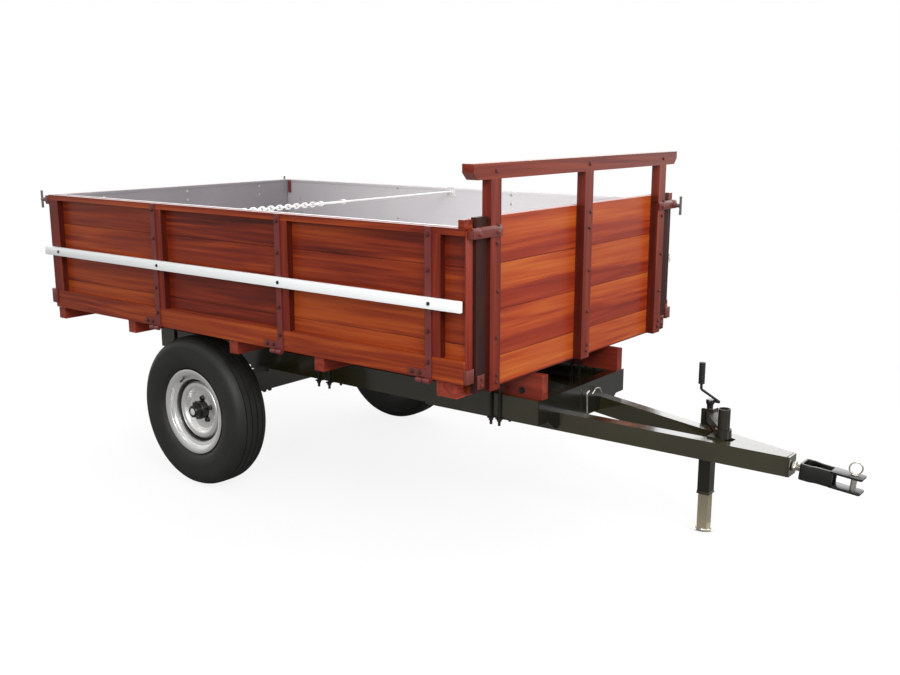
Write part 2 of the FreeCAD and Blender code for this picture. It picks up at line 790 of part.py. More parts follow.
def tail_hinges():
    """The leaves on the rear bearer, and the straps of the tailgate that turn on their pins."""
    half = GATE_INNER - S.tailgate_clearance
    leaves = []
    straps = []
    for number, share in enumerate(TAIL_HINGE_SHARES):
        y = half * share - S.strap_width / 2
        bar = box(f"tail_bar_{number}", (S.strap_thickness, S.strap_width, GATE_TOP - HINGE_Z),
                  (REAR - S.strap_thickness, y, HINGE_Z))
        eye = faceted_along_y(f"tail_eye_{number}", KNUCKLE_SIDES, S.knuckle_radius, S.knuckle_length,
                              (TAIL_HINGE_X, y, HINGE_Z))
        bore = faceted_along_y(f"tail_bore_{number}", KNUCKLE_SIDES, S.hinge_pin_radius + S.spindle_gap,
                               S.strap_width, (TAIL_HINGE_X, y, HINGE_Z))
        straps.append(cut(f"tail_strap_{number}", fuse(f"tail_strap_solid_{number}", [bar, eye]), bore))
        leaf_y = y + S.knuckle_length + S.knuckle_gap
        leaf = box(f"tail_leaf_{number}", (S.hinge_bar_thickness, S.knuckle_length, S.hinge_leaf_height),
                   (REAR - S.hinge_bar_thickness, leaf_y, HINGE_Z - S.hinge_leaf_height))
        knuckle = faceted_along_y(f"tail_knuckle_{number}", KNUCKLE_SIDES, S.knuckle_radius,
                                  S.knuckle_length, (TAIL_HINGE_X, leaf_y, HINGE_Z))
        pin = bar_along_y(f"tail_pin_{number}", S.hinge_pin_radius,
                          S.knuckle_length * 2 + S.knuckle_gap, (TAIL_HINGE_X, y, HINGE_Z))
        leaves.append(fuse(f"tail_hinge_{number}", [leaf, knuckle, pin]))
    node("tailgate_straps", group("tail_straps", straps))
    node("tail_hinges", group("tail_leaves", leaves))


def twin_nodes(name, right):
    """A right-hand node and its left-hand twin."""
    node(name + "_right", right)
    node(name + "_left", mirror(name + "_twin", right))


def tailgate():
    """The rear gate between the side gates."""
    half = GATE_INNER - S.tailgate_clearance
    depth = S.gate_post_depth
    rails = [box("tail_top", (depth, half * 2, S.gate_top_rail), (REAR, -half, GATE_TOP - S.gate_top_rail)),
             box("tail_low", (depth, half * 2, S.gate_bottom_rail), (REAR, -half, S.gate_bottom))]
    node("tailgate_rails", group("tail_rail_group", rails))
    posts = []
    for number, y in enumerate((-half, -S.gate_post_width / 2, half - S.gate_post_width)):
        posts.append(box(f"tail_post_{number}", (depth, S.gate_post_width, GATE_POST_HEIGHT),
                         (REAR, y, S.gate_bottom + S.gate_bottom_rail)))
    node("tailgate_posts", group("tail_post_group", posts))
    rows = int(S.gate_board_rows.value)
    pitch = S.gate_height / S.gate_board_rows
    boards = []
    for row in range(rows):
        boards.append(box(f"tail_board_{row}", (S.gate_board_thickness, half * 2, pitch - S.board_joint),
                          (REAR + depth, -half, S.gate_bottom + pitch * row + S.board_joint / 2)))
    node("tailgate_boards", group("tail_board_group", boards))
    sheet_bottom = S.floor_top + S.lining_thickness + S.tailgate_clearance
    node("tailgate_lining", box("tail_sheet", (S.lining_thickness, half * 2, GATE_TOP - sheet_bottom),
                                (REAR + depth + S.gate_board_thickness, -half, sheet_bottom)))


def wheel():
    """The right-hand tyre, rim and hub, with their twins for the left."""
    at = (WHEEL_X, -WHEEL_Y, S.tyre_radius)
    tyre(at)
    rim(at)
    hub(at)


def tyre(at):
    """A carcass with round sidewalls and a flat crown, bored for the rim's seats."""
    low = S.rim_flange_radius + S.rim_wall
    side = [(low + (S.tyre_radius - low) * rise, S.tyre_half_width * wide) for rise, wide in TYRE_SHARES]
    profile = [(radius, -along) for radius, along in side]
    profile += [(radius, along) for radius, along in reversed(side)]
    carcass = ring_loft("tyre_ring", TYRE_SIDES, profile, at)
    x, y, z = at
    bore = faceted_along_y("tyre_bore", TYRE_SIDES,
                           (S.bead_radius + S.seat_gap) / math.cos(math.pi / TYRE_SIDES),
                           S.tyre_half_width * 2, (x, y - S.tyre_half_width, z))
    twin_nodes("tyre", cut("tyre_body", carcass, bore))


def rim(at):
    """A drop-centre rim with a welded disc: a raised ring round a flat middle."""
    half = S.rim_half_width
    wall = S.rim_wall
    flange = S.rim_flange_radius
    seat = S.bead_radius
    well = S.rim_well_radius
    slope = S.rim_well_slope
    well_out = -S.rim_well_offset - S.rim_well_half
    well_in = -S.rim_well_offset + S.rim_well_half
    barrel = [(flange, -half), (flange, -half + wall), (seat, -S.rim_seat_half), (seat, well_out - slope),
              (well, well_out), (well, well_in), (seat, well_in + slope), (seat, S.rim_seat_half),
              (flange, half - wall), (flange, half)]
    ring = S.disc_ring_radius
    inner = ring - S.disc_ring_width
    middle = ring - S.disc_ring_width / 2
    face = -S.disc_offset
    top = face - S.disc_ring_height
    crown = top - wall / 3
    outer_side = [(flange - wall, -half), (seat - wall, -S.rim_seat_half), (seat - wall, well_out - slope),
                  (well - wall, well_out), (well - wall, face - wall / 3),
                  (ring + S.disc_slope, face), (ring, top), (middle, crown), (inner, top),
                  (inner - S.disc_slope, face)]
    plate = S.disc_wall
    inner_side = [(flange - wall, half), (seat - wall, S.rim_seat_half),
                  (seat - wall, well_in + slope * 2), (well - wall, well_in + slope),
                  (well - wall, face + plate + wall / 3), (ring + S.disc_slope / 2, face + plate),
                  (ring - S.disc_slope / 2, top + plate), (middle, crown + plate),
                  (inner + S.disc_slope / 2, top + plate), (inner - S.disc_slope / 2, face + plate)]
    x, y, z = at
    solid = ring_loft("rim_outside", RIM_SIDES, barrel, at)
    tools = [ring_loft("rim_front", RIM_SIDES, outer_side, at),
             ring_loft("rim_back", RIM_SIDES, inner_side, at),
             faceted_along_y("rim_bore", RIM_SIDES, S.disc_bore_radius, half * 2, (x, y - half, z))]
    twin_nodes("rim", cut("rim_body", solid, fuse("rim_tools", tools)))


def hub(at):
    """The hub's barrel behind and in front of the disc, its flange and its cap."""
    x, y, z = at
    face = y - S.disc_offset + S.disc_wall
    front = y - S.disc_offset - S.hub_outer_length
    barrel = faceted_along_y("hub_barrel", RIM_SIDES, S.hub_radius, face + S.hub_inner_length - front,
                             (x, front, z))
    flange = faceted_along_y("hub_flange", RIM_SIDES, S.hub_flange_radius, S.hub_flange_thickness,
                             (x, face, z))
    cap = faceted_along_y("hub_cap", RIM_SIDES, S.hub_cap_radius, S.hub_cap_length,
                          (x, front - S.hub_cap_length, z))
    bore_radius = (S.spindle_radius + S.spindle_gap) / math.cos(math.pi / RIM_SIDES)
    bore = faceted_along_y("hub_bore", RIM_SIDES, bore_radius, face + S.hub_inner_length - front,
                           (x, front, z))
    twin_nodes("hub", cut("hub_body", fuse("hub_solid", [barrel, flange, cap]), bore))


def jack():
    """The jack beside the left drawbar beam, its bracket, leg, foot and crank."""
    x = REAR + S.jack_station
    y = S.jack_offset
    side = S.jack_tube_side
    wall = S.jack_tube_wall
    tall = S.jack_tube_top - S.jack_tube_bottom
    outer = box("jack_outer_block", (side, side, tall), (x - side / 2, y - side / 2, S.jack_tube_bottom))
    hole = box("jack_outer_hole", (side - wall * 2, side - wall * 2, tall - wall),
               (x - side / 2 + wall, y - side / 2 + wall, S.jack_tube_bottom))
    node("jack_tube", cut("jack_outer", outer, hole))
    node("jack_bracket", jack_bracket(x, y, outer))
    leg_side = side - wall * 2 - S.jack_slide_gap * 2
    leg = box("jack_leg_block", (leg_side, leg_side, S.jack_leg_top - S.jack_foot_thickness),
              (x - leg_side / 2, y - leg_side / 2, S.jack_foot_thickness))
    node("jack_leg", leg)
    node("jack_foot", faceted("jack_foot_disc", TYRE_SIDES, S.jack_foot_radius, S.jack_foot_thickness,
                              (x, y, ZERO)))
    node("jack_crank", crank(x, y))


def jack_bracket(x, y, tube):
    """The plate and post near the nose of the beams, and the arm from the post to the tube."""
    post_x = REAR + S.jack_post_station
    run = float(post_x - x)
    turn = math.atan2(-float(y), run)
    half = S.jack_bracket_width / 2
    arm = box("jack_arm", (Size.of(math.hypot(float(y), run)), S.jack_bracket_width, S.jack_bracket_height),
              (x + half * math.sin(turn), y - half * math.cos(turn), S.jack_bracket_bottom), Z_AXIS,
              math.degrees(turn))
    plate_x = post_x + S.jack_plate_lead - S.jack_plate_length
    plate_z = (S.drawbar_nose_bottom + S.drawbar_height
               + (FRAME_FRONT + S.drawbar_reach - plate_x) * drawbar_slope())
    plate = box("jack_plate", (S.jack_plate_length, S.jack_plate_width, S.jack_plate_thickness),
                (plate_x, -S.jack_plate_width / 2, plate_z), Y_AXIS,
                math.degrees(math.atan(float(drawbar_slope()))))
    post = cylinder("jack_post", S.jack_post_radius, S.jack_post_top - plate_z,
                    (post_x, ZERO, plate_z))
    collar = faceted("jack_collar", RIM_SIDES, S.jack_collar_radius, S.jack_collar_height,
                     (post_x, ZERO, plate_z))
    carrier = cut("jack_carrier_trimmed", fuse("jack_carrier", [plate, post, collar, arm]), tube)
    bore_depth = S.jack_post_top - S.jack_bracket_bottom
    bore = cylinder("jack_post_bore", S.jack_post_radius - S.jack_post_wall, bore_depth,
                    (post_x, ZERO, S.jack_bracket_bottom))
    return cut("jack_carrier_open", carrier, bore)


def crank(x, y):
    """The boss on the jack's tube and the bent rod that rises from it to the grip."""
    radius = S.crank_radius
    neck = faceted("crank_neck", KNUCKLE_SIDES, S.jack_neck_radius, S.jack_boss_height,
                   (x, y, S.jack_tube_top))
    boss_top = S.jack_tube_top + S.jack_boss_height
    cap = faceted("crank_cap", KNUCKLE_SIDES, S.jack_boss_radius, S.jack_cap_height,
                  (x, y, boss_top - S.jack_cap_height))
    low = boss_top - radius
    tail = faceted_along_x("crank_tail", KNUCKLE_SIDES, radius, S.crank_tail, (x, y, low))
    across = float(S.crank_tail + S.crank_throw)
    rise = float(S.crank_rise)
    link = faceted("crank_arm", KNUCKLE_SIDES, radius, Size.of(math.hypot(across, rise)),
                   (x + S.crank_tail, y, low), Y_AXIS, -math.degrees(math.atan2(across, rise)))
    grip_x = x - S.crank_throw
    bend = low + S.crank_rise
    rod = faceted("crank_rod", KNUCKLE_SIDES, radius, S.crank_rod + radius, (grip_x, y, bend - radius))
    grip = faceted("crank_grip", KNUCKLE_SIDES, S.crank_grip_radius, S.crank_grip_length,
                   (grip_x, y, bend + S.crank_rod))
    return fuse("crank", [neck, cap, tail, link, rod, grip])


def drooped(item):
    """Swing a piece of the hitch, made level with the nose plate's face at X zero, to its droop."""
    return place(item, REAR + NOSE_REACH, ZERO, S.drawbar_nose_bottom + S.hitch_rise, Y_AXIS, HITCH_DROOP)


def hitch():
    """The threaded shank, the clevis and its pin, drooping from the nose plate."""
    rear_x = S.shank_reach - S.nose_plate_thickness
    overlap = S.nose_plate_thickness / 2
    bar = bar_along_x("shank_bar", S.shank_radius, rear_x + overlap, (-overlap, ZERO, ZERO))
    node("hitch_shank", cut("shank", drooped(group("shank_line", [bar])), NODES["drawbar_nose"]))
    pin_x = rear_x + S.clevis_length - S.hitch_pin_setback
    node("hitch_clevis", drooped(clevis(rear_x, pin_x)))
    pin_half = S.ear_gap / 2 + S.clevis_strap + S.hitch_pin_overrun
    pin = cylinder("pin", S.hitch_pin_radius, pin_half * 2, (pin_x, ZERO, -pin_half))
    node("hitch_pin", drooped(fuse("pin_with_ring", [pin, pull_ring(pin_x, pin_half)])))


def clevis(rear_x, pin_x):
    """The strap bent round from the shank with an ear above and below the pin's gap."""
    side_length = S.clevis_length - S.ear_length
    half = S.clevis_half_width
    nose = S.clevis_nose_half
    wall = S.clevis_strap
    start = S.clevis_step_start
    end = start + S.clevis_step_length
    outline = [(ZERO, -half), (start, -half), (end, -nose), (side_length, -nose),
               (side_length, -nose + wall), (end, -nose + wall), (start, -half + wall), (wall, -half + wall),
               (wall, half - wall), (start, half - wall), (end, nose - wall), (side_length, nose - wall),
               (side_length, nose), (end, nose), (start, half), (ZERO, half)]
    pieces = [pad("clevis_strap_body", "XY_Plane", outline, S.clevis_height,
                  (rear_x, ZERO, -S.clevis_height / 2))]
    ear_start = side_length - wall
    corner = S.clevis_length - S.ear_chamfer
    ear = [(ear_start, -nose), (corner, -nose), (S.clevis_length, -nose + S.ear_chamfer),
           (S.clevis_length, nose - S.ear_chamfer), (corner, nose), (ear_start, nose)]
    for name, z in (("ear_top", S.ear_gap / 2), ("ear_bottom", -S.ear_gap / 2 - wall)):
        pieces.append(pad(name, "XY_Plane", ear, wall, (rear_x, ZERO, z)))
    hole_radius = (S.hitch_pin_radius + S.hitch_pin_clearance) / math.cos(math.pi / RIM_SIDES)
    hole = faceted("clevis_hole", RIM_SIDES, hole_radius, S.clevis_height * 2,
                   (pin_x, ZERO, -S.clevis_height))
    return cut("clevis", fuse("clevis_solid", pieces), hole)


def pull_ring(pin_x, pin_top):
    """The ring through the pin's head, standing up and turned a little."""
    wire = S.hitch_ring_wire
    radius = S.hitch_ring_radius + wire / 2
    turn = math.radians(RING_TURN)
    back = FreeCAD.Vector(-math.sin(turn), math.cos(turn), 0) * float(wire / 2)
    axis = FreeCAD.Vector(-math.cos(turn), -math.sin(turn), 0)
    centre_z = pin_top - S.hitch_pin_overrun / 2 + S.hitch_ring_radius
    at = (pin_x + Size.of(back.x), Size.of(back.y), centre_z)
    disc = faceted("ring_disc", RIM_SIDES, radius, wire, at, axis, -90)
    hole = faceted("ring_hole", RIM_SIDES, radius - wire, wire, at, axis, -90)
    return cut("pull_ring", disc, hole)


def latches():
    """The T-handles at the rear corners and at the left gate's front end."""
    node("rear_latch_right", latch("right_latch_solid", REAR, -S.latch_reach))
    node("rear_latch_left", mirror("rear_latch_twin", latch("left_latch_solid", REAR, -S.left_latch_reach)))
    node("front_latch_left", mirror("front_latch_twin", latch("front_latch_solid", REAR + S.gate_length,
                                                              S.front_latch_reach)))


def latch(name, gate_end, reach):
    """A stem out of the gate's end with a bar across it."""
    y = -HALF + S.gate_post_depth / 2
    z = GATE_TOP - S.latch_drop
    radius = S.latch_bar_radius
    length = abs(float(reach)) - float(radius)
    start = gate_end if float(reach) > 0 else gate_end + reach + radius
    centre = gate_end + reach + (-radius if float(reach) > 0 else radius)
    stem = faceted_along_x(name + "_stem", KNUCKLE_SIDES, S.latch_hub_radius, Size.of(length), (start, y, z))
    bar = faceted(name + "_bar", BAR_SIDES, radius, S.latch_bar_length,
                  (centre, y, z - S.latch_bar_length / 2), Z_AXIS, 180 / BAR_SIDES)
    return fuse(name, [stem, bar])


def box_chain():
    """The tie across the box: a rod from the left gate, its tensioner and a run of links."""
    x = REAR + S.chain_station
    z = GATE_TOP - S.chain_drop
    body_end = -S.tie_body_offset
    body_start = body_end - S.tie_body_length
    plate = box("tie_plate", (S.tie_plate_side, S.tie_plate_thickness, S.tie_plate_side),
                (x - S.tie_plate_side / 2, GATE_INNER - S.tie_plate_thickness, z - S.tie_plate_side / 2))
    rod = faceted_along_y("tie_rod", BAR_SIDES, S.tie_rod_radius, GATE_INNER - body_end, (x, body_end, z))
    body = faceted_along_y("tie_body", KNUCKLE_SIDES, S.tie_body_radius, S.tie_body_length,
                           (x, body_start, z))
    pitch = S.link_length - S.link_wire * 2 - S.link_gap
    room = float(GATE_INNER + body_start - S.gate_clearance + S.link_wire - S.link_length)
    links = [link(number, x, body_start + S.link_wire - pitch * number, z)
             for number in range(1 + int(room // float(pitch)))]
    tie = fuse("tie", [plate, rod, body, links[0]])
    node("box_chain", group("tie_and_links", [tie] + links[1:]))


def link(number, x, y, z):
    """One link that hangs on from y, flat or on edge by turns."""
    half = S.link_wire / 2
    flat = number % 2 == 0
    at = (x, y, z - half) if flat else (x - half, y, z)
    role = "XY_Plane" if flat else "YZ_Plane"
    outer = link_outline(S.link_width / 2, ZERO, S.link_length, S.link_wire, flat)
    inner = link_outline(S.link_width / 2 - S.link_wire, S.link_wire, S.link_length - S.link_wire,
                         S.link_wire / 3, flat)
    return cut(f"link_{number}", pad(f"link_outer_{number}", role, outer, S.link_wire, at),
               pad(f"link_inner_{number}", role, inner, S.link_wire, at))


def link_outline(half, near, far, corner, flat):
    """An oblong with cut corners that runs towards the right-hand gate."""
    side = [(half - corner, near), (half, near + corner), (half, far - corner), (half - corner, far)]
    other = [(-across, along) for across, along in reversed(side)]
    if flat:
        return [(across, -along) for across, along in side + other]
    return [(-along, across) for across, along in side + other]


def build():
    """Make every sub-part, check it and write it out."""
    chassis_rails()
    drawbar_beams()
    crossmembers()
    axle()
    timber_frame()
    u_bolts()
    floor()
    headboard()
    side_gate()
    side_hinges()
    tailgate()
    tail_hinges()
    wheel()
    jack()
    hitch()
    latches()
    box_chain()
    DOC.recompute()
    os.makedirs("parts", exist_ok=True)
    faults = [item.Name for item in DOC.Objects
              if {"Invalid", "Error"} & set(item.State)]
    faults += [name for name, item in NODES.items()
               if item.Shape.isNull() or not item.Shape.isValid()]
    if faults:
        raise RuntimeError("failed: " + ", ".join(faults))
    for name, item in NODES.items():
        item.Shape.exportStep(os.path.join("parts", name + ".step"))


build()
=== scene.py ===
"""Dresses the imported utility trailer: timber, steel, rubber, small fittings, light and camera.

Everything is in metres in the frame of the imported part: X forward to the drawbar, Y to the
left, Z up, with the ground at zero.
"""

from __future__ import annotations

import json
import logging
import math

from dataclasses import dataclass, field
from enum import Enum
from typing import Any, Callable, Iterable, Sequence

import bpy
from mathutils import Euler, Matrix, Vector

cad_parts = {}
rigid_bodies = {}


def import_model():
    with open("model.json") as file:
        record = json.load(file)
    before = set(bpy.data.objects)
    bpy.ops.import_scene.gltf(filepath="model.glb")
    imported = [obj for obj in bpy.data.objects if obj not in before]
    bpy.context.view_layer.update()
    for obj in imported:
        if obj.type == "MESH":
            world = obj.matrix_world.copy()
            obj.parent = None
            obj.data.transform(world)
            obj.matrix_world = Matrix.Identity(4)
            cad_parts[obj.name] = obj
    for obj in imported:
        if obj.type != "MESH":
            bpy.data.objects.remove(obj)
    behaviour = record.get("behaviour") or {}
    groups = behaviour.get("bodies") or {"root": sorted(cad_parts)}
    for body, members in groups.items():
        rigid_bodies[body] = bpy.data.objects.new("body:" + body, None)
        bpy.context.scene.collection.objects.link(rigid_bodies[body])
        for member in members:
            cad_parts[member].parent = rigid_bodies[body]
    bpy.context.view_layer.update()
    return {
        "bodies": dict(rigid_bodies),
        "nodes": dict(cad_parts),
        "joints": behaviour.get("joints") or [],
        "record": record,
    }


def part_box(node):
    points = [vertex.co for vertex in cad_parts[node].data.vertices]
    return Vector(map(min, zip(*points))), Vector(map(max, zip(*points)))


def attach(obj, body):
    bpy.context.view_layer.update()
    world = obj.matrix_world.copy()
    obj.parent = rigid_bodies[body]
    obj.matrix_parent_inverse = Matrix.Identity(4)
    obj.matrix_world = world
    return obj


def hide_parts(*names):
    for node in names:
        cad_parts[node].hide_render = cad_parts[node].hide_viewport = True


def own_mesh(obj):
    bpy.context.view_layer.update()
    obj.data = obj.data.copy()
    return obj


LOG = logging.getLogger("trailer")

Point = tuple[float, float, float]
Colour = tuple[float, float, float, float]
Profile = list[tuple[float, float]]
Thing = bpy.types.Object

FORWARD: Point = (1.0, 0.0, 0.0)
SIDEWAYS: Point = (0.0, 1.0, 0.0)
UP: Point = (0.0, 0.0, 1.0)
DOWN: Point = (0.0, 0.0, -1.0)
MIDDLE: Point = (0.0, 0.0, 0.0)
# Farther along the grain than any end of the trailer's timber.
BEYOND = 9.0


def tint(code: str) -> Colour:
    """Turns a screen colour such as #8a3a1c into the linear colour of a socket.

    Args:
        code: Six hexadecimal digits after a hash sign.

    Returns:
        Red, green, blue and a full alpha.
    """
    parts = [int(code[place:place + 2], 16) / 255 for place in (1, 3, 5)]
    red, green, blue = (part / 12.92 if part <= 0.04045 else ((part + 0.055) / 1.055) ** 2.4
                        for part in parts)
    return red, green, blue, 1.0


def points(*values: float) -> Profile:
    """Gives a profile's points.

    Args:
        *values: Radius and place along the axis of each point in turn, in millimetres.

    Returns:
        The points, in metres.
    """
    return [(radius / 1000, along / 1000) for radius, along in zip(values[::2], values[1::2])]


class Side(Enum):
    """A side of the trailer, seen from behind it."""

    RIGHT = "right"
    LEFT = "left"


class Grain(Enum):
    """Which way timber's fibres run: along them, across a board, and through it, as axis numbers."""

    ALONG_X = (0, 2, 1)
    ALONG_Y = (1, 2, 0)
    ALONG_Z = (2, 1, 0)
    ALONG_X_FLAT = (0, 1, 2)


class Socket:
    """What leaves a node, which can be written into sums where it is a value."""

    def __init__(self, recipe: Recipe, link: bpy.types.NodeSocket) -> None:
        """Keeps the recipe that it belongs to and the socket that it leaves by."""
        self.recipe = recipe
        self.link = link

    def _sum(self, operation: str, first: Socket | float, second: Socket | float = 0.0) -> Socket:
        """Gives the result of one Math node."""
        return self.recipe.node("Math", {0: first, 1: second}, operation=operation)

    def __add__(self, other: Socket | float) -> Socket:
        """Gives the sum."""
        return self._sum("ADD", self, other)

    def __sub__(self, other: Socket | float) -> Socket:
        """Gives the difference."""
        return self._sum("SUBTRACT", self, other)

    def __rsub__(self, other: float) -> Socket:
        """Gives the difference from a number in front."""
        return self._sum("SUBTRACT", other, self)

    def __mul__(self, other: Socket | float) -> Socket:
        """Gives the product."""
        return self._sum("MULTIPLY", self, other)

    def __truediv__(self, other: Socket | float) -> Socket:
        """Gives the quotient."""
        return self._sum("DIVIDE", self, other)

    def __pow__(self, other: float) -> Socket:
        """Gives the power."""
        return self._sum("POWER", self, other)

    def __abs__(self) -> Socket:
        """Gives the size without its sign."""
        return self._sum("ABSOLUTE", self)

    __radd__ = __add__
    __rmul__ = __mul__

    def floor(self) -> Socket:
        """Gives the whole part."""
        return self._sum("FLOOR", self)

    def over(self, limit: float) -> Socket:
        """Gives 1 where the value is above a limit and 0 elsewhere."""
        return self._sum("GREATER_THAN", self, limit)

    def at_least(self, limit: float) -> Socket:
        """Gives the value, or the limit where that is greater."""
        return self._sum("MAXIMUM", self, limit)

    def fade(self, low: float, high: float, start: float, end: float) -> Socket:
        """Gives start up to the low value, end from the high one, and a slope between them."""
        return self.recipe.node("MapRange", {0: self, 1: low, 2: high, 3: start, 4: end})


class Recipe:
    """The nodes of one material, or of the sky."""

    def __init__(self, owner: bpy.types.Material | bpy.types.World) -> None:
        """Starts with an output alone.

        Args:
            owner: The material or the world.
        """
        owner.use_nodes = True
        self.owner = owner
        self.tree = owner.node_tree
        self.tree.nodes.clear()
        kind = "Material" if isinstance(owner, bpy.types.Material) else "World"
        self.output = self.tree.nodes.new("ShaderNodeOutput" + kind)

    def node(self, kind: str, inputs: dict[int | str, Any], output: int | str = 0,
             **settings: Any) -> Socket:
        """Adds a node.

        Args:
            kind: The node's type, without the words that all types start with.
            inputs: A value or a Socket for each input by name or number.
            output: Which of its outputs is wanted.
            **settings: Its properties, set first; stops fills a ramp.

        Returns:
            The output.
        """
        made = self.tree.nodes.new("ShaderNode" + kind)
        for key, value in settings.items():
            if key == "stops":
                self._stops(made.color_ramp, value)
            else:
                setattr(made, key, value)
        for key, value in inputs.items():
            if isinstance(value, Socket):
                self.tree.links.new(value.link, made.inputs[key])
            else:
                made.inputs[key].default_value = value
        return Socket(self, made.outputs[output])

    @staticmethod
    def _stops(ramp: bpy.types.ColorRamp, stops: Iterable[tuple[float, str]]) -> None:
        """Fills a ramp with places and colours in order.

        Args:
            ramp: The ramp.
            stops: Place and colour of each stop.
        """
        for number, (place, code) in enumerate(stops):
            element = ramp.elements[number] if number < 2 else ramp.elements.new(1.0)
            element.position = place
            element.color = tint(code)

    def axes(self) -> list[Socket]:
        """Gives the object's own X, Y and Z."""
        split = self.node("SeparateXYZ", {0: self.node("TexCoord", {}, "Object")})
        return [Socket(self, output) for output in split.link.node.outputs]

    def vector(self, values: Sequence[Socket | float]) -> Socket:
        """Gives a vector from three values."""
        return self.node("CombineXYZ", dict(enumerate(values)))

    def noise(self, place: Sequence[Socket | float], scale: float = 1.0, detail: float = 3.0,
              distortion: float = 0.0) -> Socket:
        """Adds a cloud of noise.

        Args:
            place: The three values that it is read at.
            scale: Its lumps for each metre.
            detail: Its octaves.
            distortion: How far it is stirred.

        Returns:
            The noise, from 0 to 1.
        """
        return self.node("TexNoise", {"Vector": self.vector(place), "Scale": scale, "Detail": detail,
                                      "Distortion": distortion})

    def mix(self, share: Socket, first: Socket | str, second: Socket | str) -> Socket:
        """Mixes two colours by a share from 0 to 1."""
        first, second = (tint(colour) if isinstance(colour, str) else colour for colour in (first, second))
        return self.node("Mix", {0: share, 6: first, 7: second}, 2, data_type="RGBA", clamp_factor=True)

    def show(self, shader: Socket) -> None:
        """Connects a shader to the output."""
        self.tree.links.new(shader.link, self.output.inputs["Surface"])

    def surface(self, colour: Socket, roughness: Socket | float,
                bump: tuple[Socket, float, float] | None = None, **fixed: float) -> Socket:
        """Adds and shows the main shader.

        Args:
            colour: The base colour.
            roughness: The roughness, fixed or over the surface.
            bump: What raises the surface, the share of it that shows, and the metres of a full value.
            **fixed: Values for the shader's other sockets, with _ for a space in the name.

        Returns:
            The shader.
        """
        inputs = {key.replace("_", " "): value for key, value in fixed.items()}
        inputs |= {"Base Color": colour, "Roughness": roughness}
        if bump:
            height, strength, depth = bump
            inputs["Normal"] = self.node("Bump", {"Strength": strength, "Distance": depth,
                                                  "Height": height})
        shader = self.node("BsdfPrincipled", inputs)
        self.show(shader)
        return shader


@dataclass(frozen=True)
class Timber:
    """Varnished boards with long streaks, each board and each length of it in its own tone.

    The boards are a pitch wide from a start and a run long from a phase. The heart reddens the
    lower part of each board and dim darkens the top ones. Painted shade darkens what lies past
    the ends along the grain, where the headboard's boards meet the corner posts, and what lies
    closer in than the face on its axis, below a top, where the posts' side faces lie in shadow.
    """

    name: str
    grain: Grain
    shades: tuple[str, str, str, str]
    pitch: float = 0.1635
    start: float = 0.865
    run: float = 0.942
    phase: float = -2.115
    spread: float = 0.3
    lift: float = 0.0
    wander: float = 0.95
    gloss: float = 0.36
    dim: float = 0.0
    heart: float = 0.0
    # ends and face, with the face's axis and top, place painted shade on the timber.
    ends: float = BEYOND
    face: float = 0.0
    shade_axis: int = 0
    joint: float = 0.0022
    dim_above: float = 1.3555
    shade_top: float = 1.553

    def fill(self, recipe: Recipe) -> None:
        """Adds the nodes.

        Args:
            recipe: What the nodes go into.
        """
        axes = recipe.axes()
        along, across, deep = (axes[number] for number in self.grain.value)
        rows = (across - self.start) / self.pitch
        row = rows.floor()
        place = recipe.vector((row, ((along - self.phase) / self.run).floor(), 0.5))
        tone = recipe.node("TexWhiteNoise", {"Vector": place}, "Value", noise_dimensions="3D")
        shift = tone * 7.0
        figure = recipe.noise((along * 0.9 + shift, across * 17.0 + shift, deep * 17.0), 1.0, 5.0, 1.0)
        streak = recipe.noise((along * 1.6 + shift, across * 70.0, deep * 70.0), 1.0, 4.0, 0.4)
        fibre = recipe.noise((along * 9.0, across * 420.0, deep * 420.0), 1.0, 2.0)
        base = self.lift + 0.285 - (self.wander + self.spread) / 2
        value = figure * self.wander + streak * 0.42 + tone * self.spread + base
        value = value - across.over(self.dim_above) * self.dim
        value = value - (rows - row + figure * 0.3).fade(0.42, 0.74, self.heart, 0.0)
        colour = recipe.node("ValToRGB", {0: value}, stops=zip((0.24, 0.42, 0.58, 0.78), self.shades))
        edge = abs(rows - row - 0.5).over(0.5 - self.joint / self.pitch)
        # Painted shade on the faces closer in than the face, below the top: the posts' side faces in
        # shadow.
        painted_side_shade = (self.face - abs(axes[self.shade_axis])).over(0.0) * (self.shade_top - axes[2]).over(0.0)
        # Dark joints between the boards, then painted shade past the ends and on the side faces.
        for share, shade in ((edge * 0.15, "#1c0805"), (abs(along).over(self.ends) * 0.75, "#3c100a"),
                             (painted_side_shade * 0.6, "#260c08")):
            colour = recipe.mix(share, colour, shade)
        recipe.surface(colour, streak * 0.2 + (self.gloss - 0.1),
                       (fibre * 0.6 + streak * 0.4 - edge * 0.4, 0.3, 0.0008), Coat_Weight=0.1,
                       Coat_Roughness=0.22, Specular_IOR_Level=0.3)


